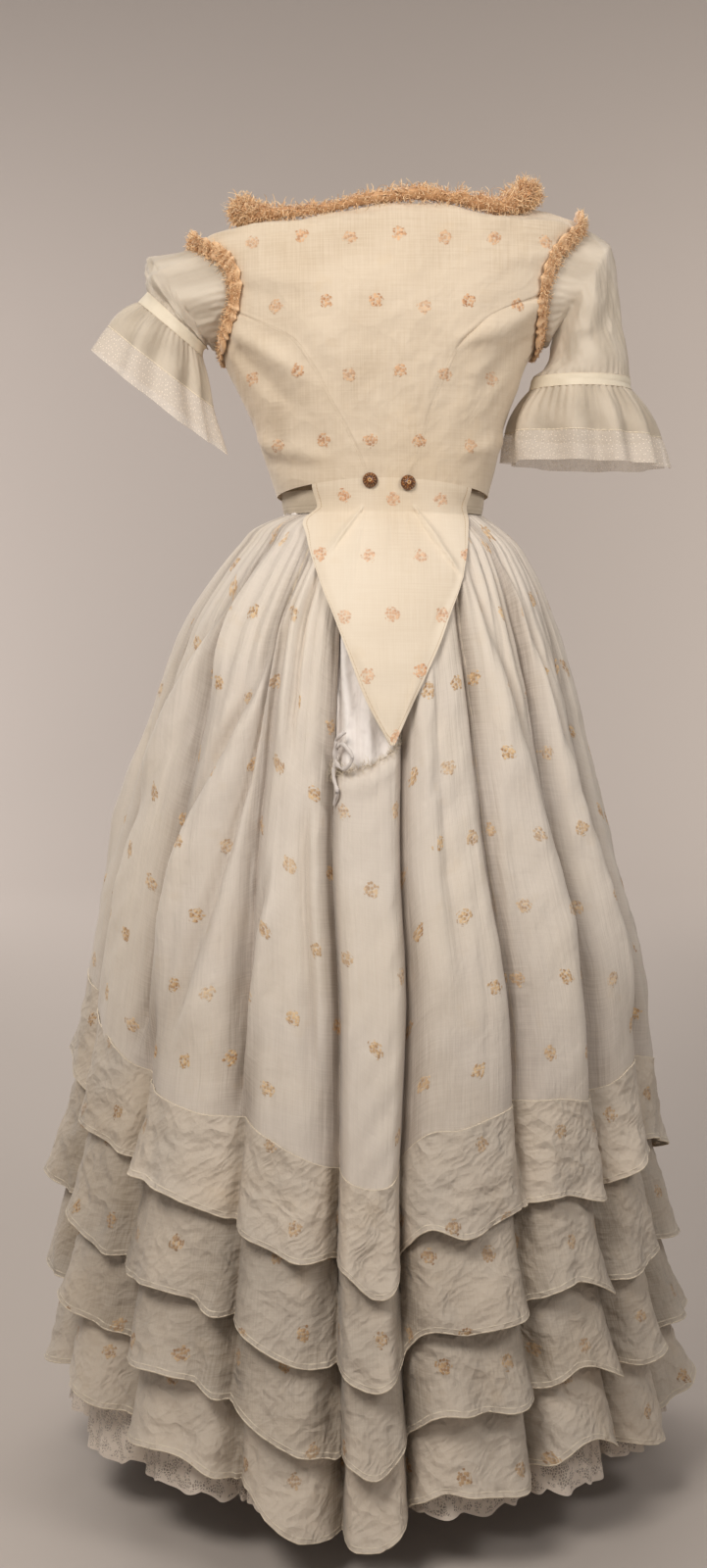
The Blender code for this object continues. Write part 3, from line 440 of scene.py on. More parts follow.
# tones are the lit, shaded and blotched cloth and its thick threads; heights, insets and widths are in metres
plainLook = {
    "roughness": 0.85, "specular": 0.2, "sheen": 0.15, "alpha": 1.0, "bump": 0.8, "blotch": 7.0,
    "uneven": 0.35, "slubShade": 0.12, "weave": 0.00004, "stain": 0.0, "crease": 0.0008, "Size": 1.0,
    "Fine": 0.5, "Crinkle": 0.0, "Long": 1.0, "stitch": (), "dashes": 420.0, "stitchShade": 0.5,
    "stitchHeight": -0.0002, "sprig": None, "sprigShade": 0.85, "sprigHeight": 0.0004, "holes": None}
looks = {
    "creamCotton": {
        "tones": ((218, 202, 180), (200, 182, 158), (210, 192, 166), (229, 215, 196)), "sheen": 0.25,
        "slubShade": 0.45, "crease": 0.0036, "Size": 1.8, "Fine": 0.6, "uneven": 0.4,
        "stain": 0.25, "stainColour": (214, 189, 152),
        "stitch": ((0.0016, 0.0005),), "stitchColour": (202, 183, 155), "stitchShade": 0.25,
        "sprig": {"Shift Across": 0.012, "Shift Down": 0.0435},
        "flossDark": (164, 104, 60), "flossLight": (232, 186, 142)},
    "tailCotton": {
        "tones": ((231, 218, 199), (216, 200, 178), (223, 207, 184), (239, 228, 211)), "sheen": 0.25,
        "slubShade": 0.35, "crease": 0.0012, "Size": 2.0, "Fine": 0.6,
        "stain": 0.2, "stainColour": (216, 192, 154),
        "stitch": ((0.0045, 0.0006),), "stitchColour": (190, 162, 124), "stitchShade": 0.8,
        "sprig": {"Down": 0.0605, "Shift Across": 0.0158, "Shift Down": 0.0264},
        "flossDark": (184, 118, 74), "flossLight": (238, 190, 148)},
    "sheerMull": {
        "tones": ((223, 212, 198), (168, 155, 142), (210, 203, 199), (231, 222, 211)),
        "slubShade": 0.35, "crease": 0.0026, "Size": 1.6, "Fine": 0.9, "Crinkle": 0.5, "Long": 0.35,
        "blotch": 5.0, "uneven": 0.55, "stain": 0.22, "stainColour": (206, 184, 150),
        "stitch": ((0.0, 0.0011),), "dashes": 60.0,
        "stitchColour": (226, 212, 190), "stitchShade": 0.9, "stitchHeight": 0.0006, "sprigShade": 0.95,
        "sprig": {"Across": 0.056, "Down": 0.074, "Size": 0.0086, "Keep": 0.97},
        "flossDark": (162, 118, 72), "flossLight": (236, 204, 158)},
    "crinkledCotton": {
        "tones": ((209, 196, 180), (148, 135, 119), (182, 173, 162), (214, 203, 190)),
        "slubShade": 0.35, "crease": 0.0078, "Fine": 1.4, "blotch": 12.0, "uneven": 0.6,
        "stain": 0.25, "stainColour": (188, 166, 134), "stitch": ((0.0040, 0.0007),), "dashes": 60.0,
        "stitchColour": (226, 214, 194), "stitchShade": 0.9, "stitchHeight": 0.0005,
        "sprig": {"Across": 0.062, "Down": 0.074, "Size": 0.0084, "Keep": 0.85},
        "flossDark": (140, 100, 62), "flossLight": (212, 178, 134)},
    "whiteCotton": {
        "tones": ((242, 236, 232), (178, 167, 160), (228, 221, 217), (245, 241, 237)),
        "crease": 0.0060, "Long": 0.22, "Fine": 0.8, "stain": 0.1, "stainColour": (208, 196, 174)},
    "bandCotton": {
        "tones": ((210, 196, 176), (190, 176, 156), (202, 188, 168), (220, 206, 186)),
        "crease": 0.0012, "stitch": ((0.0035, 0.0007), (0.0075, 0.0007)), "stitchColour": (168, 154, 132)},
    "organdie": {
        "tones": ((238, 227, 210), (214, 202, 184), (226, 215, 200), (244, 235, 221)),
        "alpha": 0.52, "roughness": 0.6, "specular": 0.3, "crease": 0.0028, "Size": 1.2, "uneven": 0.5},
    "ruffleOrgandie": {
        "tones": ((228, 216, 198), (196, 183, 164), (214, 202, 186), (236, 227, 212)),
        "alpha": 0.60, "roughness": 0.6, "specular": 0.3, "crease": 0.0020, "Size": 0.8},
    "bandOrgandie": {
        "tones": ((232, 222, 203), (212, 200, 178), (224, 213, 194), (240, 232, 216)), "crease": 0.0010},
    "dottedNet": {
        "tones": ((246, 236, 224), (228, 217, 203), (236, 226, 212), (248, 240, 229)),
        "crease": 0.0016, "holes": netHoles},
    "cottonLace": {
        "tones": ((230, 218, 206), (196, 183, 169), (216, 204, 191), (236, 225, 214)),
        "crease": 0.0020, "holes": laceHoles},
    "creamCord": {
        "tones": ((230, 218, 198), (210, 197, 176), (220, 207, 186), (236, 226, 209)),
        "crease": 0.0004, "uneven": 0.3},
    "peachRibbon": {
        "tones": ((236, 199, 158), (182, 132, 86), (222, 179, 132), (244, 213, 174)), "crease": 0.0006,
        "roughness": 0.45, "specular": 0.4, "sheen": 0.4, "uneven": 0.6, "blotch": 60.0},
    "peachFloss": {
        "tones": ((250, 225, 186), (198, 148, 98), (232, 192, 144), (252, 233, 198)), "crease": 0.0002,
        "roughness": 0.5, "specular": 0.3, "sheen": 0.4, "uneven": 0.7, "blotch": 120.0},
}
cloths = {name: clothMaterial(name, look) for name, look in looks.items()}
print("materials ready")


# bodice: degrees run from the centre back, levels from the waist (0) to the neck (10)
bodice = {
    "sections": columnsOf(("level", "zBack", "zLeft", "zRight", "zFront", "left", "right", "back", "front"), (
        (0, 0.0245, 0.009, 0.009, -0.006, 0.1150, 0.1140, 0.088, 0.100),
        (1, 0.058, 0.048, 0.049, 0.039, 0.1275, 0.1235, 0.093, 0.112),
        (2, 0.094, 0.086, 0.088, 0.082, 0.1400, 0.1315, 0.100, 0.125),
        (3, 0.125, 0.116, 0.120, 0.117, 0.1540, 0.1430, 0.105, 0.132),
        (4, 0.157, 0.146, 0.150, 0.146, 0.1680, 0.1540, 0.109, 0.133),
        (5, 0.186, 0.170, 0.175, 0.170, 0.1760, 0.1690, 0.111, 0.130),
        (6, 0.220, 0.208, 0.216, 0.196, 0.1850, 0.1880, 0.109, 0.122),
        (7, 0.253, 0.244, 0.258, 0.222, 0.1960, 0.2030, 0.102, 0.112),
        (8, 0.281, 0.275, 0.295, 0.246, 0.2050, 0.2120, 0.094, 0.101),
        (9, 0.299, 0.293, 0.311, 0.260, 0.1800, 0.1860, 0.086, 0.092),
        (10, 0.310, 0.306, 0.321, 0.268, 0.1540, 0.1570, 0.078, 0.083))),
    "neckline": columnsOf(("degrees", "drop", "radius"), (
        (-180, 0.0000, 0.0080), (-120, 0.0020, 0.0085), (-92, 0.0060, 0.0120), (-69, 0.0140, 0.0160),
        (-55, 0.0150, 0.0113), (-43, 0.0160, 0.0085), (-31, 0.0150, 0.0074), (-20, 0.0125, 0.0070),
        (-9, 0.0075, 0.0082), (2, 0.0043, 0.0095), (14, 0.0034, 0.0095), (26, 0.0067, 0.0095),
        (35, 0.0133, 0.0103), (45, 0.0185, 0.0120), (54, 0.0165, 0.0150), (70, 0.0105, 0.0170),
        (92, 0.0020, 0.0130), (120, 0.0010, 0.0090), (180, 0.0000, 0.0080))),
    "dropLevel": 7, "squareness": 0.06, "armLow": 5, "armHigh": 8, "neck": 10, "sideSeam": 92,
    "stretches": (0.56, 0.86),  # shares of a panel's edge at which the armhole and the shoulder start
    "seams": {
        -1: columnsOf(("level", "degrees"), ((0.0, 8.5), (0.35, 9.7), (1.33, 15.0), (2.2, 20.4), (3.5, 25.5),
                                             (4.65, 34.0), (5.45, 50.0), (5.75, 59.0))),
        1: columnsOf(("level", "degrees"), ((0.0, 12.5), (0.45, 16.0), (1.1, 18.5), (2.1, 22.2), (3.5, 27.5),
                                            (4.7, 33.0), (5.4, 40.0), (6.1, 60.0)))},
    "meets": {-1: -30.0, 1: -15.5}, "armBack": {-1: 38.0, 1: 33.0}, "armFront": 30.0,
    # soft drag lines: where each starts and ends, in degrees and level, how wide (levels) and how high (m)
    "drags": (
        (-58, 5.2, -30, 3.2, 0.35, 0.0022), (-62, 4.4, -40, 2.4, 0.35, -0.0018),
        (-50, 6.6, -22, 6.1, 0.30, 0.0014), (60, 5.9, 30, 4.2, 0.35, 0.0020),
        (66, 4.9, 44, 2.8, 0.35, -0.0018), (64, 7.2, 34, 6.8, 0.30, 0.0014),
        (-80, 1.6, -30, 0.7, 0.25, 0.0020), (-72, 0.9, -24, 0.25, 0.20, -0.0018),
        (80, 1.5, 34, 0.8, 0.25, 0.0018), (-16, 1.1, 20, 0.95, 0.22, 0.0012),
        (-12, 0.65, 22, 0.55, 0.18, -0.0014), (-8, 0.35, 24, 0.25, 0.15, 0.0012),
        (30, 8.6, 62, 8.2, 0.30, 0.0016), (-30, 8.9, -66, 8.4, 0.30, 0.0016),
        (-4, 9.2, 10, 7.0, 0.5, 0.0010)),
    "dragRise": 2.6, "degreesPerLevel": 14, "metresPerDegree": 0.13 * math.pi / 180,
    "groove": (0.0003, 0.0026), "grooveLip": (0.0001, 0.0008),  # beside a seam: height and width
    "frontShift": 0.4,  # keeps the front's sprigs apart from the back's
}


def smoothBodice(degrees, level):
    table = bodice["sections"]
    row = {name: curveThrough(table["level"], table[name], level) for name in table}
    x, y = oval(degrees, row["left"], row["right"], row["back"], row["front"], bodice["squareness"])
    a = np.radians(degrees)
    side = np.where(np.sin(a) < 0, row["zLeft"], row["zRight"])
    middle = np.where(np.cos(a) > 0, row["zBack"], row["zFront"])
    share = np.clip((level - bodice["dropLevel"]) / (bodice["neck"] - bodice["dropLevel"]), 0, 1)
    return xyz(x, y, side + (middle - side) * np.cos(a) ** 2 - share * atNeckline("drop", degrees))


def atNeckline(name, degrees):
    table = bodice["neckline"]
    return curveThrough(table["degrees"], table[name], (degrees + 180) % 360 - 180)


def bodicePoint(degrees, level, lift=0.0):  # a point and the way out of the cloth there
    degrees, level, lift = np.broadcast_arrays(np.asarray(degrees, float), np.asarray(level, float), lift)
    low, high = np.maximum(level - 0.02, 0), np.minimum(level + 0.02, bodice["neck"])
    out = unit(np.cross(smoothBodice(degrees + 0.5, level) - smoothBodice(degrees - 0.5, level),
                        smoothBodice(degrees, high) - smoothBodice(degrees, low)))
    return smoothBodice(degrees, level) + lift[..., None] * out, out


def armhole(side, phase):  # degrees and level round an armhole
    p = np.radians(phase)
    reach = np.where(np.cos(p) > 0, bodice["armBack"][side], bodice["armFront"])
    middle, half = (bodice["armLow"] + bodice["armHigh"]) / 2, (bodice["armHigh"] - bodice["armLow"]) / 2
    return side * (bodice["sideSeam"] - reach * np.cos(p)), middle + half * np.sin(p)


def dragLines(degrees, level):  # how far the worn cloth stands off its smooth form
    total, scale = 0.0, bodice["degreesPerLevel"]
    for fromDegrees, fromLevel, toDegrees, toLevel, wide, high in bodice["drags"]:
        along = np.array([toDegrees - fromDegrees, (toLevel - fromLevel) * scale])
        rel = np.stack([degrees - fromDegrees, (level - fromLevel) * scale], axis=-1)
        t = (rel @ along) / (along @ along)
        off = (rel[:, 0] * along[1] - rel[:, 1] * along[0]) / np.linalg.norm(along) / scale
        total = total + high * hill(off, wide) * easing(-0.15, 0.2, t) * easing(1.25, 0.7, t)
    uneven = 0.0009 * ripple(degrees / 16, level / 1.6, 3) + 0.0005 * ripple(degrees / 6, level / 0.7, 5)
    return bodice["dragRise"] * total + uneven


def panelEdge(side, v, degrees, level, firstPhase, lastPhase):  # a seam, then the armhole, then the shoulder
    first, second = bodice["stretches"]
    phase = firstPhase + (lastPhase - firstPhase) * np.clip((v - first) / (second - first), 0, 1)
    armDegrees, armLevel = armhole(side, phase)
    share = np.clip((v - second) / (1 - second), 0, 1)
    shoulder = bodice["armHigh"] + (bodice["neck"] - bodice["armHigh"]) * share
    degrees = np.where(v <= first, degrees, np.where(v <= second, armDegrees, side * bodice["sideSeam"]))
    return degrees, np.where(v <= first, level, np.where(v <= second, armLevel, shoulder))


def backEdge(side, v):
    table, meets = bodice["seams"][side], bodice["meets"][side]
    topDegrees, topLevel = armhole(side, meets)
    share = np.clip(v / bodice["stretches"][0], 0, 1)
    degrees = side * curveThrough(table["level"], table["degrees"], topLevel * share)
    degrees = degrees + (topDegrees - side * table["degrees"][-1]) * easing(0.85, 1.0, share)
    return panelEdge(side, v, degrees, topLevel * share, meets, 90)


def sideEdge(side, v):
    level = bodice["armLow"] * np.clip(v / bodice["stretches"][0], 0, 1)
    return panelEdge(side, v, side * bodice["sideSeam"], level, -90, -270)


def middleFront(side, v):
    return side * 180.0 + 0 * v, sideEdge(side, v)[1]


def underArm(side, u, v):  # how far a side back's top edge is moved to follow the armhole
    meets = bodice["meets"][side]
    topDegrees, topLevel = armhole(side, meets)
    armDegrees, armLevel = armhole(side, meets + (-90 - meets) * u)
    plainDegrees = topDegrees + (side * bodice["sideSeam"] - topDegrees) * u
    plainLevel = topLevel + (bodice["armLow"] - topLevel) * u
    return (armDegrees - plainDegrees) * v ** 2, (armLevel - plainLevel) * v ** 2


def bodicePanel(name, node, edges, grid, armSide=0):
    upTo = bodice["stretches"][0] if armSide else 1.0

    def place(u, v):
        (firstDegrees, firstLevel), (lastDegrees, lastLevel) = [edge(v * upTo) for edge in edges]
        degrees = firstDegrees + (lastDegrees - firstDegrees) * u
        level = firstLevel + (lastLevel - firstLevel) * u
        if armSide:
            moved = underArm(armSide, u if armSide > 0 else 1 - u, v)
            degrees, level = degrees + moved[0], level + moved[1]
        edge = np.minimum(u, 1 - u) * np.abs(lastDegrees - firstDegrees) * bodice["metresPerDegree"]
        (high, wide), (lipHigh, lipWide) = bodice["groove"], bodice["grooveLip"]
        groove = high * hill(edge - wide, wide) - lipHigh * hill(edge, lipWide)
        lift = dragLines(degrees, level) * easing(0, 0.25, v) * easing(0, 0.004, edge) + groove
        point, _ = bodicePoint(degrees, level, lift)
        # painted shade: the bodice darker towards the shoulders, with random tone
        tone = 0.4 - 0.8 * easing(5.5, 8.5, level) + 0.6 * ripple(degrees / 30, level / 3, 9)
        across = point[:, 0] - np.where(point[:, 1] > 0, bodice["frontShift"], 0.0)
        return {"points": point, "across": across, "down": point[:, 2], "tone": tone, "edge": edge}

    clothPiece(name, grid, place, "creamCotton", replaced=(node,))


bodicePanel("bodiceBackCentre", "bodice_back_centre", (partial(backEdge, -1), partial(backEdge, 1)), (72, 72))
for side, label in ((-1, "left"), (1, "right")):
    back, beside, front = partial(backEdge, side), partial(sideEdge, side), partial(middleFront, side)
    bodicePanel(f"bodiceSideBack_{label}", f"bodice_side_back_{label}", (back, beside)[::side], (36, 44),
                armSide=side)
    bodicePanel(f"bodiceFront_{label}", f"bodice_front_{label}", (beside, front)[::side], (48, 64))
print("bodice ready")


# skirt surface shared by the widths, the flounces and the inner skirt; at counts folds from the side front
skirt = {
    # creases with a ridge beside them, seen from behind: place in folds high up and low down, the z where
    # they start and end, how wide and how high (m), and which side the ridge is on
    "creases": [
        (6.90, 5.60, -0.14, -0.58, 0.024, 0.010, 1), (7.03, 6.30, -0.04, -0.57, 0.020, 0.008, 1),
        (5.75, 4.20, -0.09, -0.34, 0.020, 0.007, 1), (7.95, 6.85, -0.34, -0.63, 0.017, 0.007, 1),
        (6.20, 6.10, -0.02, -0.22, 0.014, 0.007, 1), (5.30, 5.00, -0.30, -0.60, 0.020, 0.007, 1),
        (7.45, 7.50, -0.03, -0.28, 0.013, 0.006, -1), (7.60, 7.66, -0.26, -0.60, 0.016, 0.005, 1),
        (9.45, 9.50, -0.12, -0.52, 0.015, 0.004, -1), (10.42, 11.10, -0.03, -0.50, 0.024, 0.010, -1),
        (11.30, 12.00, -0.02, -0.55, 0.022, 0.010, -1), (12.00, 12.50, -0.02, -0.60, 0.020, 0.008, -1),
        (9.80, 9.90, -0.30, -0.62, 0.018, 0.004, -1), (10.75, 10.70, -0.34, -0.64, 0.018, 0.006, -1)],
    "reach": columnsOf(("z", "left", "right", "back", "front"), (
        (-0.0108, 0.1075, 0.1075, 0.0825, 0.0940), (-0.0240, 0.1380, 0.1260, 0.1000, 0.1080),
        (-0.0420, 0.1560, 0.1470, 0.1180, 0.1220), (-0.0640, 0.1750, 0.1620, 0.1370, 0.1350),
        (-0.0930, 0.1970, 0.1770, 0.1600, 0.1500), (-0.1250, 0.2180, 0.1900, 0.1780, 0.1630),
        (-0.1620, 0.2340, 0.2030, 0.1950, 0.1760), (-0.2000, 0.2470, 0.2140, 0.2080, 0.1870),
        (-0.2500, 0.2620, 0.2260, 0.2220, 0.1980), (-0.3600, 0.2930, 0.2520, 0.2500, 0.2180),
        (-0.5000, 0.3220, 0.2900, 0.2830, 0.2420), (-0.6000, 0.3370, 0.2990, 0.3010, 0.2550),
        (-0.7000, 0.3490, 0.3040, 0.3150, 0.2650), (-0.8000, 0.3550, 0.3110, 0.3260, 0.2720),
        (-0.9300, 0.3520, 0.3180, 0.3360, 0.2780), (-1.0100, 0.3500, 0.3180, 0.3410, 0.2800))),
    # folds in order round the skirt: the valley each starts from, its depth and how broad its crest is
    "folds": columnsOf(("top", "hem", "depth", "crest"), (
        (-174.0, -174.0, 0.80, 2.0), (-154.0, -154.0, 0.95, 2.4), (-134.0, -135.0, 0.80, 2.0),
        (-114.0, -114.0, 1.00, 2.3), (-94.0, -93.0, 0.80, 2.0), (-72.0, -71.0, 1.00, 2.4),
        (-50.0, -48.0, 1.00, 2.6), (-27.5, -23.5, 0.90, 2.6), (-11.0, -4.8, 1.25, 5.0),
        (10.0, 6.8, 1.20, 4.5), (26.5, 30.0, 1.00, 2.6), (49.0, 51.0, 1.00, 2.4),
        (68.0, 68.0, 0.90, 2.2), (87.0, 87.0, 0.80, 2.0), (107.0, 108.0, 0.95, 2.3), (127.0, 127.0, 0.80, 2.0),
        (147.0, 146.0, 1.00, 2.4), (166.0, 166.0, 0.85, 2.0))),
    "depths": columnsOf(("z", "fold", "gather"), (
        (-0.0108, 0.000, 0.0034), (-0.0500, 0.004, 0.0068), (-0.1000, 0.010, 0.0062),
        (-0.2000, 0.017, 0.0040), (-0.3500, 0.022, 0.0014), (-0.5000, 0.026, 0.0008),
        (-0.6500, 0.028, 0.0004), (-0.8000, 0.030, 0.0), (-1.0100, 0.031, 0.0))),
    "hems": columnsOf(("degrees", "seam", "first", "last"), (
        (-180.0, -0.545, -0.640, -0.925), (-120.0, -0.525, -0.610, -0.925), (-88.0, -0.508, -0.592, -0.935),
        (-60.0, -0.555, -0.652, -0.912), (-47.0, -0.590, -0.670, -0.934), (-31.0, -0.610, -0.690, -0.937),
        (-22.0, -0.616, -0.710, -0.960), (-11.0, -0.643, -0.735, -0.996), (-4.0, -0.662, -0.740, -1.006),
        (2.0, -0.671, -0.766, -1.007), (5.5, -0.664, -0.755, -0.990), (9.0, -0.630, -0.716, -0.962),
        (17.0, -0.618, -0.715, -0.956), (28.0, -0.603, -0.698, -0.960), (36.0, -0.600, -0.690, -0.930),
        (50.0, -0.609, -0.703, -0.962), (60.0, -0.588, -0.672, -0.972), (88.0, -0.608, -0.705, -0.935),
        (120.0, -0.575, -0.670, -0.925), (180.0, -0.545, -0.640, -0.925))),
    "foldCount": 18, "gathersPerFold": 7.0, "squeeze": 0.11, "creaseScale": (2.3, 1.3), "creaseWidth": 0.8,
    "panelFold": 8, "top": -0.0108, "straightBy": 0.65, "sideSeams": (6.88, 10.10), "innerInset": 0.010,
    # shade beside the torn width: place in folds, how wide, how deep
    "shades": ((7.87, 0.10, 1.5), (9.10, 0.07, 0.3)),
    "fullest": -0.6, "ease": 1.04, "rightBack": (13.5, 12.5),
}


def foldShape(at):  # angle at the top and at the hem, how deep the valley is, and the painted shading: darker in the valley, where the sheer cloth also lies doubled, lighter on the crest
    table, count = skirt["folds"], skirt["foldCount"]
    number = np.floor(at).astype(int)
    share = at - number
    this, following = number % count, (number + 1) % count
    along = share - skirt["squeeze"] * np.sin(fullTurn * share)
    wrap = np.where(following == 0, 360.0, 0.0)
    top, hem = [table[name][this] + along * (table[name][following] + wrap - table[name][this])
                + 360.0 * (number // count) for name in ("top", "hem")]
    amount = np.where(share < 0.5, table["depth"][this], table["depth"][following])
    valley = np.abs(np.cos(math.pi * share)) ** table["crest"][this]
    return top, hem, amount * valley, 1 - 2 * valley


def looseCreases(count, seed, width, height, drift, skip=None):  # more creases, spread round the skirt
    pick = np.random.default_rng(seed)
    place = (np.arange(count) + pick.uniform(-0.4, 0.4, count)) * skirt["foldCount"] / count
    start = pick.uniform(-0.30, -0.01, count)
    rows = zip(place, place + pick.uniform(-drift, drift, count),
               start, start - pick.uniform(0.2, 0.6, count),
               pick.uniform(*width, count), pick.uniform(*height, count), pick.choice((-1, 1), count))
    return [row for row in rows if not skip or not skip[0] < row[0] < skip[1]]


def creasesAt(at, z, table):
    total, half = 0.0 * at, skirt["foldCount"] / 2
    metresPerFold = 0.34 * falling(skirt["reach"], "left", np.minimum(z, skirt["top"]))
    for high, low, start, end, width, height, side in table:
        middle = high + (low - high) * (-0.1 - z) / 0.5
        off = ((at - middle + half) % skirt["foldCount"] - half) * metresPerFold * side
        wide = width * (0.45 + 0.55 * np.clip(-z / 0.5, 0, 1.2))
        shape = 0.8 * hill(off - wide, wide) - 0.8 * hill(off, 0.4 * wide)
        total = total + height * shape * easing(start, start - 0.1, z) * easing(end, end + 0.08, z)
    return total


skirt["allCreases"] = [
    (high, low, start, end, skirt["creaseWidth"] * width, skirt["creaseScale"][high > 9] * height, side)
    for high, low, start, end, width, height, side in skirt["creases"]]
skirt["allCreases"] += looseCreases(46, 201, (0.008, 0.018), (0.004, 0.009), 0.5, (4.6, 12.6))
skirt["allCreases"] += looseCreases(70, 203, (0.005, 0.011), (0.0015, 0.003), 0.5, (7.7, 9.2))


def reachAt(z, names=("left", "right", "back", "front")):
    return [falling(skirt["reach"], name, z) for name in names]


def skirtPoint(at, z, proud=0.0, rough=1.0):  # rough scales the gathers and creases between the main folds
    top, hem, valley, tone = foldShape(at)
    degrees = top + (hem - top) * np.clip((skirt["top"] - z) / skirt["straightBy"], 0, 1)
    wobble = 0.35 * ripple(at / 2, z / 0.4, 21)
    strength = 0.55 + 0.45 * ripple(at * 1.6, z / 0.9, 23)
    gather = 1 - np.abs(np.sin(math.pi * (skirt["gathersPerFold"] * at + wobble))) ** 0.8
    creased = creasesAt(at, z, skirt["allCreases"]) - 0.002 * easing(-0.02, -0.15, z)
    crumple = 0.0010 * ripple(at * 4, z / 0.06, 27) * easing(-0.05, -0.2, z)
    move = proud - falling(skirt["depths"], "fold", z) * valley
    move = move + rough * (creased + crumple - falling(skirt["depths"], "gather", z) * gather * strength)
    x, y = oval(degrees, *[reach + move for reach in reachAt(z)])
    beside = sum(deep * hill(at - place, wide) for place, wide, deep in skirt["shades"])
    # painted shade in the gathers near the waist and beside the torn width, painted light and shade along the
    # creases
    tone = tone - 0.9 * gather * easing(-0.40, -0.02, z) + 60 * creased - beside * easing(-0.10, -0.20, z)
    return xyz(x, y, z), tone


def hemHeights(at):
    _, hem, _, _ = foldShape(at)
    place, table = (hem + 180) % 360 - 180, skirt["hems"]
    return [curveThrough(table["degrees"], table[name], place) for name in ("seam", "first", "last")]


# flat width of the cloth up to each place, read along the skirt where it is fullest
countedFolds = np.linspace(0, 2 * skirt["foldCount"], 4001)
fullRing, _ = skirtPoint(countedFolds, skirt["fullest"] + 0 * countedFolds)
steps = np.linalg.norm(np.diff(fullRing, axis=0), axis=1)
clothRun = np.concatenate([[0], np.cumsum(steps)]) * skirt["ease"]


def flatAcross(at):
    return np.interp(at, countedFolds, clothRun)


def stretchOf(at, z, step=0.02):
    near, far = skirtPoint(at - step, z)[0], skirtPoint(at + step, z)[0]
    share = np.linalg.norm(far - near, axis=1) / (flatAcross(at + step) - flatAcross(at - step))
    return np.clip(share, 0.2, 1.3)


def seamNearness(at, z):  # distance to the sewn seams between the widths
    left, right = skirt["sideSeams"]
    folds = np.min([np.abs(at - seam) for seam in (left + skirt["foldCount"], right, left)], axis=0)
    return folds * 0.09 * np.clip(-z / 0.3, 0.3, 1.2)


def widthPlaced(at, z, seam, edge, proud=0.0, shade=0.0):  # the weave runs level with the lower seam
    point, tone = skirtPoint(at, z, proud)
    down = z - 0.75 * (seam - skirt["fullest"]) + 0.010 * ripple(at * 0.8, z / 0.5, 35)
    return {"points": point, "across": flatAcross(at), "down": down, "tone": tone - shade,
            "stretch": stretchOf(at, z), "edge": edge}


# the torn width's top edge runs from left to right, and sags between
widths = {"columnsPerFold": 38, "rows": 72, "wall": 0.0006, "clear": 0.0012, "shade": 0.35,
          "metresAcross": 1.4, "tornGrid": (64, 60), "tornTop": (-0.277, -0.235), "sag": 0.012,
          "tornAcross": 0.1, "ragged": ((16, 31, 0.0022), (60, 33, 0.0014))}


def mainWidths(u, v):
    at = skirt["panelFold"] + 1 + u * (skirt["foldCount"] - 1)
    seam = hemHeights(at)[0]
    z = skirt["top"] - widths["clear"] + (seam - skirt["top"]) * (0.35 * v ** 2 + 0.65 * v)
    # painted shade: the sheer cloth darker low down, and most at the back's right
    low = easing(-0.35, -0.58, z) * (1 + easing(*skirt["rightBack"], at))
    edge = np.minimum(seamNearness(at, z), np.minimum(u, 1 - u) * widths["metresAcross"])
    return widthPlaced(at, z, seam, edge, shade=widths["shade"] * low)


def tornWidth(u, v):
    at, arch = skirt["panelFold"] + u, np.sin(math.pi * u)
    seam, (left, right) = hemHeights(at)[0], widths["tornTop"]
    top = left + (right - left) * u - widths["sag"] * arch ** 1.5
    top = top + sum(high * ripple(u * waves, 0 * u, seed) for waves, seed, high in widths["ragged"])
    z = top + (seam - top) * v
    lip = -0.006 * hill(top - z, 0.010) + 0.003 * hill(top - z - 0.014, 0.008)
    return widthPlaced(at, z, seam, np.minimum(u, 1 - u) * widths["tornAcross"], proud=lip * arch)


clothPiece("skirtWidths", (widths["columnsPerFold"] * 17, widths["rows"]), mainWidths, "sheerMull",
           wall=widths["wall"],
           replaced=("skirt_front", "skirt_side_left", "skirt_side_right", "skirt_back_left",
                     "skirt_back_right"))
clothPiece("skirtTornWidth", widths["tornGrid"], tornWidth, "sheerMull", wall=widths["wall"],
           replaced=("skirt_back_panel",))
print("skirt ready")


# inner skirt, with finer pleats where the tear shows it, and its lace
inner = {"grid": (540, 70), "top": -0.003, "bottom": -0.930, "under": -0.0125, "uneven": 0.002, "rough": 0.4,
         "shown": ((7.6, 8.0), (9.3, 9.0), (-0.06, -0.12), (-0.42, -0.30)), "pleat": 0.0045, "perFold": 4.0,
         "lean": 3.2, "widths": ("side_left", "back_left", "back_right", "side_right", "front")}
lace = {"grid": (900, 10), "top": -0.9303, "bottom": -0.986, "scallops": 84, "depth": 0.007, "flare": 0.007,
        "frill": 0.0035, "waves": 110, "ease": 1.3, "wide": 0.055}


def innerSkirt(u, v):
    at = u * skirt["foldCount"]
    z = inner["top"] + (inner["bottom"] - inner["top"]) * v
    shown = np.prod([easing(low, high, x) for (low, high), x in zip(inner["shown"], (at, at, z, z))], axis=0)
    wave = inner["perFold"] * at + inner["lean"] * (z + 0.2) + 0.35 * ripple(at * 2, z / 0.2, 47)
    pleats = inner["pleat"] * shown * np.cos(fullTurn * wave)
    proud = pleats - skirt["innerInset"] + inner["uneven"] * ripple(at * 3, z / 0.3, 41)
    point, tone = skirtPoint(at, np.minimum(z, inner["under"]), proud, inner["rough"])
    point[:, 2] = z
    # painted light and shade along the pleats, and lighter where the tear shows the inner skirt
    return {"points": point, "across": flatAcross(at), "down": z, "tone": tone + 260 * pleats + 0.7 * shown}


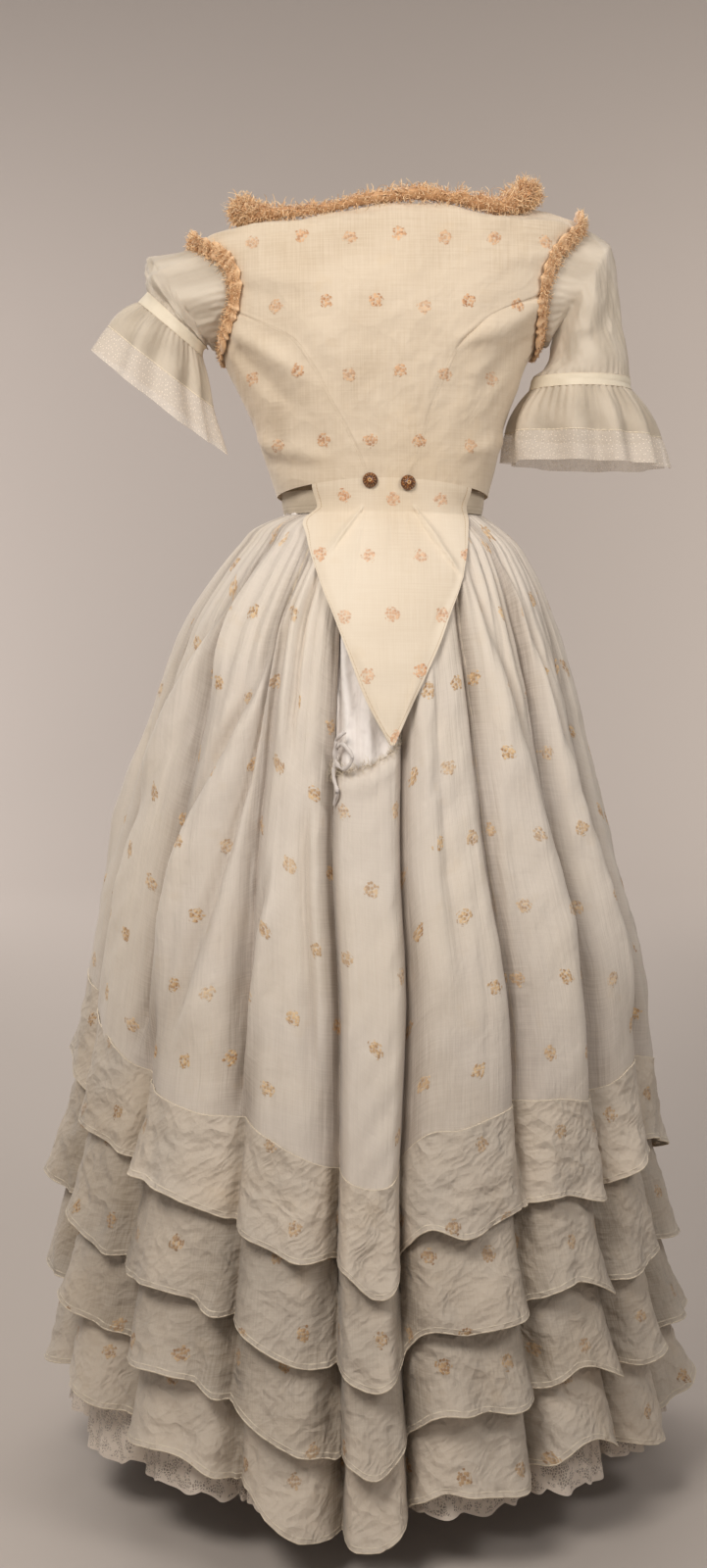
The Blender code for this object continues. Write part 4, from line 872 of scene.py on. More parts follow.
def laceEdge(u, v):
    at = u * skirt["foldCount"]
    scallop = lace["depth"] * np.abs(np.sin(math.pi * u * lace["scallops"])) ** 0.7
    bottom = lace["bottom"] + lace["depth"] - scallop + 0.004 * ripple(at, 0 * at, 43)
    z = lace["top"] + (bottom - lace["top"]) * v
    frill = lace["frill"] * np.sin(fullTurn * u * lace["waves"] + 2 * ripple(at, 0 * at, 45)) * v
    point, tone = skirtPoint(at, z, lace["flare"] * v - skirt["innerInset"] + frill, inner["rough"])
    return {"points": point, "across": flatAcross(at) * lace["ease"], "down": z, "tone": tone,
            "edge": (1 - v) * lace["wide"]}


clothPiece("underskirt", inner["grid"], innerSkirt, "whiteCotton", closed=True,
           replaced=[f"underskirt_{width}" for width in inner["widths"]])
clothPiece("underskirtLace", lace["grid"], laceEdge, "cottonLace", wall=0.0004, closed=True,
           replaced=("underskirt_lace",))


# flounces: how far down each hem lies, its flare, how far it is drawn in, its painted shading (the first and
# last flounce lighter, the middle two darker) and flat size
flounces = {
    "rows": ((0.0, 0.012, 0.005, 1.0, (2.5, 0.096)), (0.37, 0.017, 0.005, -0.55, (2.5, 0.132)),
             (0.69, 0.020, 0.005, -0.65, (2.5, 0.122)), (1.0, 0.012, 0.001, 0.5, (2.5, 0.120))),
    "lap": 0.024, "columnsPerFold": 30, "segments": 20, "cord": 0.0009, "seamCord": 0.0008, "cordPoints": 720,
    "ease": 1.08, "shift": (0.021, 0.031), "creases": (34, (0.012, 0.030), (0.005, 0.011), 0.8),
    "curl": 0.0016, "crumple": 0.0022, "swing": 0.0035}


def flouncePiece(number):
    share, flare, draw, toned, flat = flounces["rows"][number]
    count, width, height, drift = flounces["creases"]
    own = [(high, low, 1.0, -3.0, wide, deep, side)  # from above the flounce to below it
           for high, low, _, _, wide, deep, side in looseCreases(count, 211 + number, width, height, drift)]

    def face(at, v):
        seam, first, last = hemHeights(at)
        hem = first + (last - first) * share + flounces["swing"] * ripple(at * 1.4, 0 * at, 51 + number)
        top = seam + flounces["lap"] / 8
        if number:
            top = first + (last - first) * flounces["rows"][number - 1][0] + flounces["lap"]
        z = top + (hem - top) * v
        stand = flare * (0.25 * v + 0.75 * v ** 1.6)
        start = -skirt["innerInset"] * (1 - v) + 0.002 if number else 0.0014
        swing = (flounces["swing"] * ripple(at * 1.7, z / 0.16, 61 + number) - draw) * v
        folded = creasesAt(at, z, own) * (0.12 + 0.88 * v) * (0.25 + 0.75 * v)
        crushed = crumpled(at * 2.2 + z / 0.09, z / 0.060 - at, 71 + number)
        crumple = flounces["crumple"] * crushed * easing(0, 0.3, v)
        curl = flounces["curl"] * hill(1 - v, 0.06)
        rough = 0.3 if number else 1 - 0.75 * easing(0, 0.5, v)
        point, tone = skirtPoint(at, z, start + stand + swing + folded + crumple + curl, rough)
        # painted light and shade along the flounce's own creases
        return point, tone + 40 * folded, z, hem

    def place(u, v):
        at = u * skirt["foldCount"]
        point, tone, z, hem = face(at, v)
        acrossShift, downShift = [number * step for step in flounces["shift"]]  # so that sprigs don't line up
        across = flatAcross(at) * flounces["ease"] + acrossShift
        return {"points": point, "across": across, "down": z + downShift, "tone": tone + toned,
                "edge": z - hem}

    grid = (flounces["columnsPerFold"] * skirt["foldCount"], flounces["segments"])
    clothPiece(f"flounceCloth_{number + 1}", grid, place, "crinkledCotton", closed=True,
               replaced=(f"flounce_{number + 1}",))
    at = np.linspace(0, skirt["foldCount"], flounces["cordPoints"], endpoint=False)
    thick = flounces["cord"] * (1 + 0.15 * np.sin(np.arange(len(at)) * 1.7))
    cordAlong(f"flounceHemCord_{number + 1}", face(at, 1 + 0 * at)[0], thick, "creamCord")
    if number == 0:
        seamLine, _, _, _ = face(at, 0.004 + 0 * at)
        cordAlong("flounceSeamCord", seamLine, flounces["seamCord"], "creamCord")


for number in range(len(flounces["rows"])):
    flouncePiece(number)
print("flounces ready")


# waistband: z, then how far it reaches to the left, right, back and front
waist = {"low": (-0.0105, 0.1075, 0.1075, 0.0825, 0.0940), "high": (0.0135, 0.1103, 0.1103, 0.0845, 0.0960),
         "round": 0.63, "belly": 0.0006, "side": 0.115, "back": 0.088}


def waistBand(u, v):
    low, high = np.array(waist["low"]), np.array(waist["high"])
    z, left, right, back, front = (low + (high - low) * v[:, None]).T
    belly = waist["belly"] * np.sin(math.pi * v)
    x, y = oval(360 * u - 180, left + belly, right + belly, back + belly, front + belly)
    return {"points": xyz(x, y, z), "across": u * waist["round"], "down": z, "tone": ripple(u * 12, v, 81),
            "edge": z - low[0]}


clothPiece("waistBand", (160, 6), waistBand, "bandCotton", wall=0.0014, closed=True,
           replaced=("waistband",))


# back tail
tail = {
    "lines": columnsOf(("z", "left", "pleatLeft", "pleatRight", "right"), (
        (-0.006, -0.070, -0.024, 0.031, 0.088), (-0.016, -0.083, -0.031, 0.038, 0.090),
        (-0.036, -0.081, -0.045, 0.053, 0.088), (-0.056, -0.076, -0.058, 0.065, 0.085),
        (-0.080, -0.068, -0.055, 0.069, 0.080), (-0.115, -0.054, -0.040, 0.052, 0.067),
        (-0.156, -0.038, -0.024, 0.036, 0.051), (-0.207, -0.018, -0.009, 0.018, 0.027),
        (-0.247, 0.0035, 0.0050, 0.0070, 0.0085))),
    "topAngles": (-38.5, -10.0, 14.5, 50.5), "clear": 0.0038, "rise": 1.4, "lap": 0.06, "uneven": 0.0010,
    # pleats fanning out from under the buttons: from x and z to x and z, how wide and how high (m)
    "pleats": (
        (-0.0155, 0.002, -0.062, -0.062, 0.0065, 0.0038), (-0.0190, -0.004, -0.040, -0.105, 0.0100, 0.0016),
        (0.0245, 0.002, 0.0600, -0.048, 0.0055, -0.0034), (0.0270, -0.006, 0.0800, -0.082, 0.0050, -0.0040),
        (0.0200, -0.004, 0.0330, -0.085, 0.0110, -0.0014), (0.0050, -0.004, 0.0000, -0.075, 0.0130, 0.0010)),
}


def tailPleats(x, z):
    folds = 0 * x
    for x0, z0, x1, z1, wide, high in tail["pleats"]:
        along = np.array([x1 - x0, z1 - z0])
        share = ((x - x0) * along[0] + (z - z0) * along[1]) / (along @ along)
        off = ((x - x0) * along[1] - (z - z0) * along[0]) / np.linalg.norm(along) * np.sign(high)
        lean = wide * (0.35 + 0.65 * np.clip(share, 0, 1.2))
        step = hill(off, np.where(off > 0, lean, 0.22 * lean))
        folds = folds + tail["rise"] * abs(high) * step * easing(0.0, 0.35, share) * easing(1.15, 0.6, share)
    return folds


def tailCloth(u, v):
    heights, lap = tail["lines"]["z"], tail["lap"]
    waistRow, _ = bodicePoint(np.interp(u * 3, range(4), tail["topAngles"]), 0)
    z = np.where(v < lap, 0, heights[0] + (heights[-1] - heights[0]) * (v - lap) / (1 - lap))
    at = np.clip(z, heights[-1], heights[0])
    names = ("left", "pleatLeft", "pleatRight", "right")
    edges = np.stack([falling(tail["lines"], name, at) for name in names])
    band = np.minimum((u * 3).astype(int), 2)
    t = u * 3 - band
    before, after = [np.take_along_axis(edges, band[None] + step, 0)[0] for step in (0, 1)]
    x = before * (1 - t) + after * t
    left, right, back = reachAt(np.minimum(z, skirt["top"]), ("left", "right", "back"))
    half = np.maximum(waist["side"], (left + right) / 2 + tail["clear"])
    depth = np.maximum(waist["back"], back + tail["clear"])
    middle = (right - left) / 2
    out = unit(xyz((x - middle) / half ** 2, -np.sqrt(1 - ((x - middle) / half) ** 2) / depth, 0))
    point = xyz(x, -depth * np.sqrt(1 - ((x - middle) / half) ** 2), z)
    first = easing(0.0, lap, v)
    lift = (tailPleats(x, z) + tail["uneven"] * ripple(u * 3, v * 4, 91)) * first
    point = waistRow * (1 - first)[:, None] + (point + lift[:, None] * out) * first[:, None]
    point[:, 2] = np.where(v < lap, waistRow[:, 2] + (heights[0] - waistRow[:, 2]) * v / lap, z)
    side = np.minimum(u, 1 - u) * (edges[3] - edges[0]) * 0.9
    # painted shade at the tail's top, under the bodice's hem, with random tone
    tone = 0.3 + 0.6 * ripple(u * 2, v * 2, 93) - 1.4 * easing(0.14, 0.0, v)
    return {"points": point, "across": point[:, 0], "down": point[:, 2], "tone": tone,
            "edge": np.minimum(side, np.maximum(z - heights[-1], 0) + 0.004)}


clothPiece("tailCloth", (180, 120), tailCloth, "tailCotton", wall=0.0009, flip=True,
           replaced=("back_tail",))
print("tail ready")


# sleeves: rings of x, y, z, half height, half width, pitch and swing, from the armhole to the net's edge
sleeves = {
    "left": (
        (-0.2204, -0.010, 0.2173, 0.0546, 0.0580, 34, 2), (-0.2209, -0.020, 0.2048, 0.0473, 0.0530, 41, 0),
        (-0.2201, -0.026, 0.1958, 0.0410, 0.0460, 47, -4), (-0.2269, -0.030, 0.1850, 0.0425, 0.0457, 50, -4),
        (-0.2355, -0.042, 0.1440, 0.0660, 0.0640, 52, -6), (-0.2358, -0.055, 0.1060, 0.0860, 0.0790, 52, -8)),
    "right": (
        (0.2126, 0.000, 0.2286, 0.0546, 0.0580, 32, 0), (0.2156, 0.002, 0.1760, 0.0455, 0.0540, 57, 0),
        (0.2150, 0.004, 0.1370, 0.0515, 0.0570, 90, 0), (0.2140, 0.004, 0.1240, 0.0545, 0.0585, 90, 0),
        (0.2175, 0.004, 0.0760, 0.0790, 0.0740, 92, 0), (0.2205, 0.004, 0.0440, 0.0830, 0.0790, 92, 0)),
    "flat": {"left": ((0.40, 0.085), (0.29, 0.013), (0.52, 0.045), (0.56, 0.045)),
             "right": ((0.40, 0.11), (0.34, 0.013), (0.52, 0.052), (0.56, 0.034))},
    "clear": 0.0004, "collar": 0.0095, "collarBy": 0.12, "ringsFrom": 0.3, "bandRings": (2.03, 2.99),
    "waves": 10, "waveDepth": 0.0055, "gathers": 40, "fineWaves": 46, "cordPoints": 260, "hemCord": 0.0008,
    "bandCord": 0.0006,
}


def ringPoints(row, side, turn, grow=0.0):
    x, y, z, up, across, pitch, swing = row
    pitch, swing = np.radians(pitch), np.radians(swing)
    axis = xyz(side * np.cos(pitch) * np.cos(swing), -np.cos(pitch) * np.sin(swing), -np.sin(pitch))
    top = xyz(side * np.sin(pitch) * np.cos(swing), -np.sin(pitch) * np.sin(swing), np.cos(pitch))
    back = side * np.cross(axis, top)
    t = np.radians(turn)
    upward = top * ((up + grow) * np.cos(t))[:, None]
    return xyz(x, y, z) + upward + back * ((across + grow) * np.sin(t))[:, None]


def sleevePieces(label, side):
    rings = np.array(sleeves[label], float)

    def ringAt(first, last, u, v, grow=0.0):  # the ring table read smoothly between two rings
        place = first + (last - first) * v
        row = [curveThrough(np.arange(len(rings)), column, place) for column in rings.T]
        return ringPoints(row, side, 360 * u, grow)

    def sleeveFace(u, v):
        edge, out = bodicePoint(*armhole(side, 90 - 360 * u))
        middle, straight = edge.mean(axis=0), unit(out.mean(axis=0))
        start = edge + sleeves["clear"] * unit(middle - edge)
        collar = start + straight * sleeves["collar"]
        by, ringsFrom = sleeves["collarBy"], sleeves["ringsFrom"]
        point = np.where((v < by)[:, None], start + (collar - start) * np.clip(v / by, 0, 1)[:, None],
                         collar + (ringAt(0, 2, u, 0 * v) - collar) * easing(0.10, 0.32, v)[:, None])
        lower = ringAt(0, 2, u, np.clip((v - ringsFrom) / (1 - ringsFrom), 0, 1))
        point = np.where((v > ringsFrom)[:, None], lower, point)
        outward = unit(point - (middle + (rings[2, :3] - middle) * v[:, None]))
        wave = np.cos(fullTurn * sleeves["gathers"] * u + 4 * ripple(u * 6, v, 101))
        gather = 0.0007 * wave * (easing(0.30, 0.06, v) + easing(0.84, 0.99, v))
        crushed = crumpled(u * 7 + v, v * 2.2 - u * 3, 104 + side)
        soft = 0.0050 * ripple(u * 5, v * 1.6, 103 + side) + 0.0024 * crushed
        puff = 0.0030 * hill(v - 0.62, 0.14) * (0.4 + 0.6 * np.cos(np.radians(360 * u - 70)))
        return point + (gather + soft * np.sin(math.pi * v) ** 0.7 + puff)[:, None] * outward

    def sleeve(u, v):
        return {"points": sleeveFace(u, v), "across": u * 0.42, "down": v * 0.11,
                "tone": ripple(u * 8, v * 2, 105)}

    def band(u, v):
        grow = 0.0008 * np.sin(math.pi * v) ** 0.5 + 0.0004
        return {"points": ringAt(*sleeves["bandRings"], u, v, grow), "across": u * 0.3, "down": v * 0.014,
                "tone": 0.3 * ripple(u * 9, v, 107)}

    def frill(u, depth, finer=0.0):
        wave = np.cos(fullTurn * u * sleeves["waves"] + 1.6 * ripple(u * 3, 0 * u, 109 + side))
        fine = np.cos(fullTurn * sleeves["fineWaves"] * u + ripple(u * 7, 0 * u, 111))
        return sleeves["waveDepth"] * depth * wave + finer * fine

    def ruffleAt(u, v):
        bell = 0.004 * np.sin(math.pi * v)
        return ringAt(3, 4, u, v, bell + frill(u, v ** 0.8, 0.0010 * (1 - v)))

    def ruffle(u, v):
        # painted light and shade following the ruffle's waves, with random tone
        tone = np.cos(fullTurn * u * sleeves["waves"]) * 0.6 + 0.4 * ripple(u * 20, v, 113)
        return {"points": ruffleAt(u, v), "across": u * 0.7, "down": v * 0.05, "tone": tone}

    def net(u, v):
        grow = frill(u, 1 + 0.2 * v) + 0.004 * ripple(u * 9, 0 * u, 115) * v
        return {"points": ringAt(4, 5, u, v, grow), "across": u * 0.62, "down": v * 0.035}

    rows = (("Cloth", "", (220, 46), sleeve, "organdie", "sleeve", 0.0004),
            ("Band", "band_", (110, 6), band, "bandOrgandie", "sleeve", 0.0008),
            ("Ruffle", "ruffle_", (260, 26), ruffle, "ruffleOrgandie", "sleeve", 0.0004),
            ("Net", "net_", (260, 16), net, "dottedNet", "net", 0.0003))
    for (word, node, grid, place, look, slot, wall), flat in zip(rows, sleeves["flat"][label]):
        clothPiece(f"sleeve{word}_{label}", grid, place, look, wall=wall, closed=True, flip=side > 0,
                   replaced=(f"sleeve_{node}{label}",))
    u = np.linspace(0, 1, sleeves["cordPoints"], endpoint=False)
    thick = sleeves["hemCord"] * (1 + 0.3 * np.sin(np.arange(len(u)) * 2.1))
    cordAlong(f"ruffleHemCord_{label}", ruffleAt(u, 1 + 0 * u), thick, "creamCord")
    for number, v in ((1, 0.0), (2, 1.0)):
        edge = ringAt(*sleeves["bandRings"], u, v + 0 * u, 0.0009)
        cordAlong(f"bandCord{number}_{label}", edge, sleeves["bandCord"], "creamCord")


sleevePieces("left", -1)
sleevePieces("right", 1)
print("sleeves ready")


# silk floss: many small curled strands in one piece
def flossPiece(name, roots, directions, lengths, width, look, seed):
    count, joints, pick = len(roots), 5, np.random.default_rng(seed)
    last = 2 * count - 1  # each strand lies between two lines of the grid
    mesh, t, v = gridMesh(name, joints, last, spare=lambda y: int(y * last) % 2 == 1)
    line = np.rint(v * last).astype(int)
    strand, edge = np.minimum(line // 2, count - 1), line % 2 - 0.5
    forward = unit(directions)
    sideways = unit(np.cross(forward, pick.normal(size=(count, 3))))
    bend = np.cross(sideways, forward)[strand]
    forward, sideways, long = forward[strand], sideways[strand], lengths[strand]
    curl, twist = pick.uniform(-4.6, 4.6, count)[strand], pick.uniform(-2.0, 2.0, count)[strand]
    angle, straight = curl * t, np.abs(curl) < 0.05
    curl = np.where(straight, 1, curl)
    ahead = np.where(straight, t, np.sin(angle) / curl)
    off = np.where(straight, 0, (1 - np.cos(angle)) / curl)
    centre = roots[strand] + (long * ahead)[:, None] * forward + (long * off)[:, None] * bend
    centre = centre + (long * 0.25 * np.sin(twist * t * 2))[:, None] * sideways
    flatWay = sideways * np.cos(angle * 0.7)[:, None] + bend * np.sin(angle * 0.7)[:, None]
    setPoints(mesh, centre + (edge * width * (1 - 0.5 * t))[:, None] * flatWay)
    mapCloth(mesh, strand * 0.003, t * 0.01)
    # random tone for each strand, and painted shade towards the roots, lighter towards the tips
    markPoints(mesh, tone=pick.uniform(-1, 1, count)[strand] * 0.6 + t * 0.8 - 0.4, stretch=1.0, edge=1.0)
    addPiece(name, mesh, cloths[look])


# frayed edge of the torn width, with a knotted strip hanging at its left end
frayed = {"strands": 620, "length": (0.003, 0.015), "width": 0.0005, "strip": 0.0020, "stripPoints": 90,
          "proud": 0.009, "sway": 0.003,
          "loop": ((8.30, -0.234), (8.16, -0.245), (8.14, -0.262), (8.30, -0.270), (8.38, -0.258),
                   (8.27, -0.246), (8.14, -0.256), (8.11, -0.276), (8.22, -0.292), (8.14, -0.306))}
share = rng.uniform(0.01, 0.99, frayed["strands"]) ** 1.3
hang = xyz(rng.normal(0, 0.5, len(share)), -0.9, rng.normal(0.2, 0.7, len(share)))
lengths = rng.uniform(*frayed["length"], len(share)) * (1.5 - share)
flossPiece("frayedThreads", tornWidth(share, 0 * share)["points"], hang, lengths, frayed["width"],
           "creamCord", 151)
turns = np.array(frayed["loop"])
knots = np.linspace(0, len(turns) - 1, frayed["stripPoints"])
stripAt, stripZ = [curveThrough(np.arange(len(turns)), column, knots) for column in turns.T]
stripLine, _ = skirtPoint(stripAt, stripZ, frayed["proud"] + frayed["sway"] * np.sin(knots * 1.9))
cordAlong("knottedStrip", stripLine, frayed["strip"] * (1 + 0.30 * ripple(knots * 1.3, 0 * knots, 153)),
          "whiteCotton", closed=False, sides=8)


# neck trim: a twisted ribbon roll with silk fringe, thicker in two tufts
neckTrim = {"clear": 0.0004, "inset": 0.0008, "tufts": (-68.0, 66.0), "tuftSpread": 8.0, "strands": 9000,
            "tuftStrands": 1500, "length": (0.0045, 0.0105), "width": 0.0011, "core": 0.72,
            "rootsFrom": (0.5, 0.85)}


def neckRing(degrees):
    edge, _ = bodicePoint(degrees, bodice["neck"])
    nearby, _ = bodicePoint(degrees + 1, bodice["neck"])
    along = unit(nearby - edge)
    out = unit(xyz(along[:, 1], -along[:, 0], 0))
    radius = atNeckline("radius", degrees) * (0.92 + 0.16 * ripple(degrees / 11, 0 * degrees, 121))
    return edge + xyz(0, 0, radius + neckTrim["clear"]) - out * neckTrim["inset"], out, radius


def neckRoll(u, v):
    centre, out, radius = neckRing(360 * u - 180)
    lump = radius * (neckTrim["core"] + 0.10 * ripple(u * 60, v * 3, 123))
    turn = fullTurn * v
    point = centre + (lump * np.cos(turn))[:, None] * out + xyz(0, 0, lump * np.sin(turn))
    # painted shade: the ribbon roll darker, as it lies under the fringe
    tone = -0.7 + 0.3 * ripple(u * 40, v * 3, 125)
    return {"points": point, "across": u * 0.9, "down": v * 0.05, "tone": tone}


clothPiece("neckRoll", (320, 12), neckRoll, "peachRibbon", wall=0, closed=True, flip=True,
           replaced=("neck_trim",))
degrees = rng.uniform(-180, 180, neckTrim["strands"])
for angle in neckTrim["tufts"]:
    degrees = np.concatenate([degrees, rng.normal(angle, neckTrim["tuftSpread"], neckTrim["tuftStrands"])])
centre, out, radius = neckRing(degrees)
turn = rng.uniform(0, fullTurn, len(degrees))
direction = out * np.cos(turn)[:, None] + xyz(0, 0, np.sin(turn))
lengths = rng.uniform(*neckTrim["length"], len(degrees)) * (0.8 + radius / 0.04)
lengths = lengths * (1 + 0.4 * rng.random(len(degrees)) ** 6)
roots = centre + direction * (radius * rng.uniform(*neckTrim["rootsFrom"], len(degrees)))[:, None]
flossPiece("neckFloss", roots, direction + rng.normal(0, 0.8, (len(degrees), 3)), lengths, neckTrim["width"],
           "peachFloss", 131)


# armhole trims: a ribbon in box pleats with a gather line, and silk fringe
armTrim = {"pleats": 36, "half": 0.0082, "pleat": 0.0034, "thick": 0.0023, "clear": 0.0004, "seamGap": 0.0012,
           "grid": (504, 16), "strands": 3400, "length": (0.0030, 0.0070), "width": 0.0010,
           "rootReach": 0.009}


def armTrimFrame(side, phase):  # the armhole's edge, the way out of the cloth, and the way away from the arm
    edge, out = bodicePoint(*armhole(side, phase))
    before, _ = bodicePoint(*armhole(side, phase - 1))
    after, _ = bodicePoint(*armhole(side, phase + 1))
    away = unit(np.cross(unit(after - before), out))
    middle = bodicePoint(*armhole(side, np.linspace(0, 360, 60)))[0].mean(axis=0)
    return edge, out, away * np.sign(np.sum(away * (edge - middle), axis=-1))[:, None]


def pleatedRibbon(side, u, v):
    edge, out, away = armTrimFrame(side, 360 * u - 90)
    uneven = 0.3 * np.sin(u * 44) + 0.2 * np.sin(u * 107)
    wave = np.abs(((u * armTrim["pleats"] + uneven) % 1) * 2 - 1)
    turn = fullTurn * v
    wide = armTrim["half"] + armTrim["pleat"] * wave * (np.cos(turn) > 0)
    thick = armTrim["thick"] * (0.55 + (0.9 + 0.25 * np.sin(u * 69)) * wave ** 2)
    thick = thick * np.maximum(np.sin(turn), -0.9) * (1 - 0.55 * hill(v - 0.25, 0.06))
    centre = edge + away * (armTrim["half"] + armTrim["seamGap"])
    centre = centre + out * (armTrim["clear"] + armTrim["thick"])
    point = centre + (wide * np.cos(turn))[:, None] * away + thick[:, None] * out
    # painted light and shade: pleat crests lighter, the gaps between pleats darker
    return {"points": point, "across": u * 0.6, "down": v * 0.03, "tone": wave * 1.6 - 0.8}


def armFloss(side, label):
    phase = rng.uniform(-90, 270, armTrim["strands"])
    edge, out, away = armTrimFrame(side, phase)
    across = rng.normal(0.0, 0.75, len(phase)) * armTrim["half"]
    reach = armTrim["half"] + np.clip(across, -armTrim["rootReach"], armTrim["rootReach"])
    roots = edge + away * reach[:, None] + out * (1.6 * armTrim["thick"])
    toward = out * 0.8 + away * (across / armTrim["half"])[:, None] + rng.normal(0, 0.6, (len(phase), 3))
    lengths = rng.uniform(*armTrim["length"], len(phase)) * (0.7 + 0.6 * hill(phase - 55, 55))
    flossPiece(f"armholeFloss_{label}", roots, toward, lengths, armTrim["width"], "peachFloss", 141 + side)


for side, label in ((-1, "left"), (1, "right")):
    clothPiece(f"armholeRibbon_{label}", armTrim["grid"], partial(pleatedRibbon, side), "peachRibbon",
               wall=0, closed=True, flip=side > 0, replaced=(f"armhole_trim_{label}",))
    armFloss(side, label)
print("trims ready")


# buttons: x, z and distance from the waist's cloth; the profile is in shares of the radius and height
buttons = {
    "left": (-0.0145, 0.0215, 0.0014), "right": (0.0245, 0.0190, 0.0023),
    "radius": 0.0080, "high": 0.0056, "flutes": 14, "steps": 84, "fluteDepth": (0.05, 0.05, 0.22),
    "profile": ((0.0, 0.93), (0.07, 0.95), (0.14, 1.02), (0.20, 1.04), (0.26, 1.0), (0.30, 0.93),
                (0.36, 0.90), (0.5, 0.86), (0.66, 0.76), (0.80, 0.60), (0.90, 0.44), (0.97, 0.28),
                (1.0, 0.14), (0.96, 0.03), (0.85, 0.0), (0.0, 0.0)),
    "dark": (70, 34, 14), "grain": (148, 90, 42), "paintedHighlight": (238, 192, 124)}


def amberMaterial():
    material, wire, shader = newMaterial("amberButton")
    grain = wire.between(wire.noise(wire.spot(), 420.0, 3.0, 0.6), 0.42, 0.66)
    body = wire.mix(grain, tint(buttons["dark"]), tint(buttons["grain"]))
    # painted highlight: the raised ring and flute crests pale
    paintedHighlight = wire.between(wire.marked("tone"), 0.2, 1.0) * 0.8
    wire.feed(shader, {"Base Color": wire.mix(paintedHighlight, body, tint(buttons["paintedHighlight"])), "Roughness": 0.28,
                       "Coat Weight": 0.5, "Coat Roughness": 0.12})
    return material


def polar(local):  # share of the radius, and how far up a flute's side
    far = np.hypot(local[:, 0], local[:, 1]) / buttons["radius"]
    return far, 0.5 + 0.5 * np.cos(np.arctan2(local[:, 1], local[:, 0]) * buttons["flutes"])


def turnedButton(label, material):
    bm = bmesh.new()
    verts = [bm.verts.new((r * buttons["radius"], 0, h * buttons["high"])) for r, h in buttons["profile"]]
    edges = [bm.edges.new(pair) for pair in zip(verts, verts[1:])]
    bmesh.ops.spin(bm, geom=verts + edges, cent=(0, 0, 0), axis=(0, 0, 1), angle=fullTurn,
                   steps=buttons["steps"], use_merge=True)
    bmesh.ops.remove_doubles(bm, verts=bm.verts, dist=0.00001)
    for face in bm.faces:
        face.smooth = True
    mesh = bpy.data.meshes.new(f"domedButton_{label}")
    bm.to_mesh(mesh)
    local = pointsOf(mesh)
    far, flute = polar(local)
    shoulder = np.clip((far - 0.4) * 4, 0, 1) * np.clip((1.04 - far) * 8, 0, 1)
    local = local * (1 - (shoulder * (1 - flute))[:, None] * np.array(buttons["fluteDepth"]))
    far, flute = polar(local)
    # painted highlight on the raised ring and on the flute crests near the rim
    light = hill(far - 0.2, 0.07) + 0.75 * flute ** 3 * hill(far - 0.72, 0.2)
    x, z, clear = buttons[label]
    y = -waist["back"] * math.sqrt(1 - (x / waist["side"]) ** 2)
    out = unit(np.array([x / waist["side"] ** 2, y / waist["back"] ** 2, 0.0]))
    rightward, upward = np.array([-out[1], out[0], 0.0]), np.array([0, 0, 1.0])
    points = xyz(x, y, z) + clear * out + local @ np.stack([rightward, upward, out])
    for vert, point in zip(bm.verts, points):
        vert.co = point
    bmesh.ops.recalc_face_normals(bm, faces=bm.faces)
    bm.to_mesh(mesh)
    bm.free()
    markPoints(mesh, tone=light)
    addPiece(mesh.name, mesh, material, (f"button_{label}",))


amber = amberMaterial()
for label in ("left", "right"):
    turnedButton(label, amber)
print("buttons ready")


# studio: floor and backdrop in one bent sheet, lamps, soft room light and the photo's camera
studio = {"floor": -1.048, "front": -7.0, "wall": 7.0, "bend": 2.4, "long": 21.0, "wide": 17.0,
          "grid": (8, 160), "colour": (193, 184, 177), "room": (1.0, 0.94, 0.88, 1), "strength": 0.22}
photoView = {"at": (-0.032, -2.1, -0.131), "down": 4.7, "lens": 43.875, "sensor": 36.0}
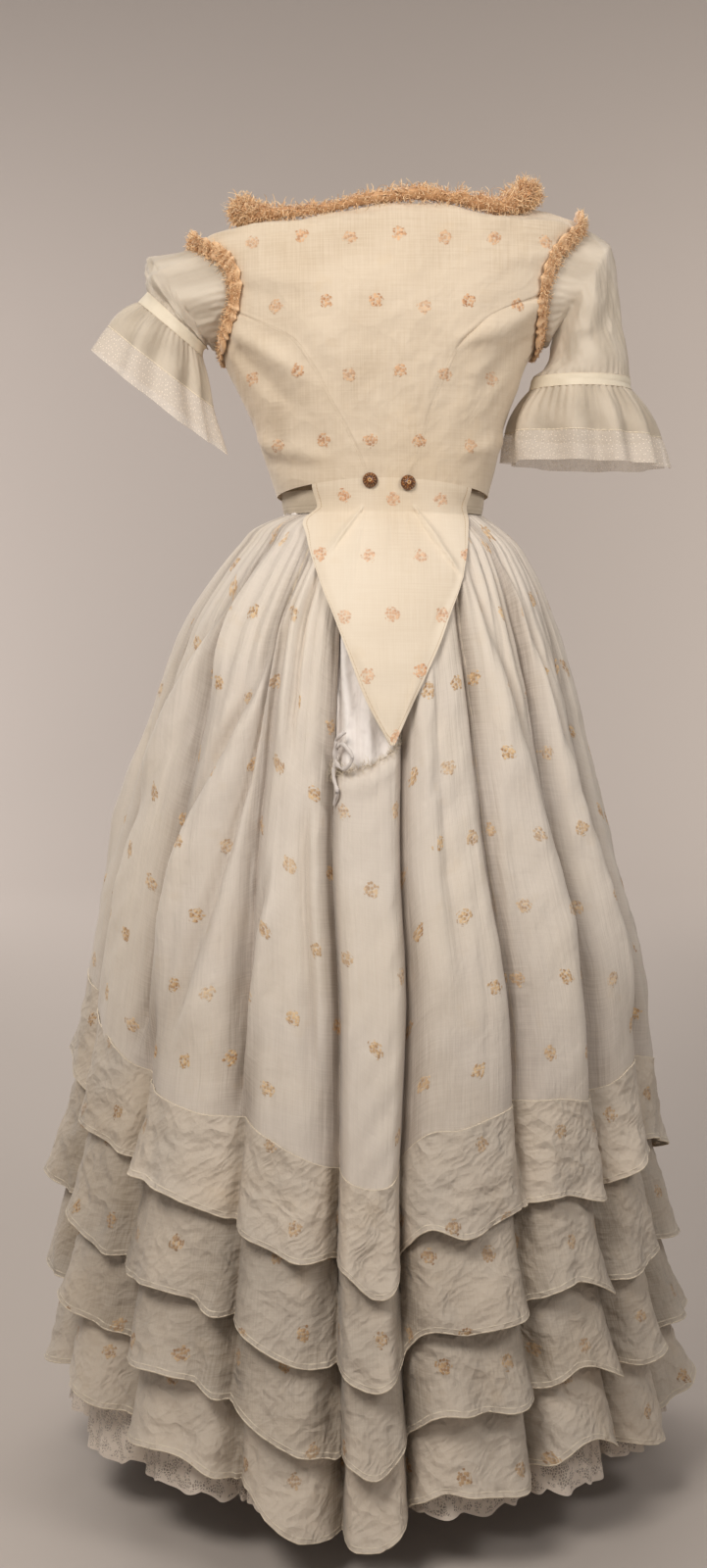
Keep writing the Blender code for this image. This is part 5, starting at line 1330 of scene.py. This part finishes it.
# place, what it looks at, size, power, colour
lamps = {
    "key": ((-0.78, -1.55, 1.05), (0, 0, 0.05), 0.8, 28, (1.0, 0.94, 0.87)),
    "fill": ((1.0, -1.1, 0.6), (0.1, 0, 0.6), 0.6, 10, (1.0, 0.95, 0.90)),
    "behind": ((-2.4, 2.9, 1.9), (0, 0, -0.3), 1.6, 48, (1.0, 0.96, 0.93)),
    "above": ((0.0, 2.3, 2.9), (0, 2.5, -1.0), 2.6, 46, (1.0, 0.95, 0.92)),
    "wallLeft": ((-3.2, 4.2, 0.5), (-0.9, 7.0, 0.1), 2.2, 74, (1.0, 0.96, 0.95)),
    "wallRight": ((3.2, 4.2, 0.9), (0.9, 7.0, 0.4), 2.2, 62, (1.0, 0.94, 0.89)),
}


def sweep(u, v):
    bend, run = studio["bend"], v * studio["long"]
    flatRun, arc = studio["wall"] - bend - studio["front"], bend * math.pi / 2
    t = np.clip((run - flatRun) / arc, 0, 1) * math.pi / 2
    y = studio["front"] + np.minimum(run, flatRun) + bend * np.sin(t)
    z = studio["floor"] + bend * (1 - np.cos(t)) + np.maximum(run - flatRun - arc, 0)
    return xyz((u - 0.5) * studio["wide"], y, z)


sweepMesh, u, v = gridMesh("studioSweep", *studio["grid"])
setPoints(sweepMesh, sweep(u, v))
sweepMesh.shade_smooth()
paper, wire, shader = newMaterial("studioPaper")
wire.feed(shader, {"Base Color": tint(studio["colour"]), "Roughness": 0.95})
sweepMesh.materials.append(paper)
sweepSheet = addObject("studioSweep", sweepMesh)

for name, (at, look, size, power, colour) in lamps.items():
    lamp = bpy.data.lights.new(name, "AREA")
    lamp.shape, lamp.size, lamp.energy, lamp.color = "SQUARE", size, power, colour
    holder = addObject(name, lamp)
    ahead = unit(np.array(look, float) - np.array(at, float))
    holder.location = at
    holder.rotation_euler = (math.acos(-ahead[2]), 0, math.atan2(-ahead[0], ahead[1]))
world = bpy.data.worlds.new("softRoom")
world.use_nodes = True
background = world.node_tree.nodes["Background"]
Wiring(world.node_tree).feed(background, {"Color": studio["room"], "Strength": studio["strength"]})
bpy.context.scene.world = world

camera = bpy.data.cameras.new("photoView")
camera.sensor_fit, camera.sensor_height, camera.lens = "VERTICAL", photoView["sensor"], photoView["lens"]
cameraObject = addObject("photoView", camera)
cameraObject.location = photoView["at"]
cameraObject.rotation_euler = (math.radians(90 - photoView["down"]), 0, 0)
bpy.context.scene.camera = cameraObject
bpy.context.scene.view_settings.view_transform = "Standard"
print("studio ready")
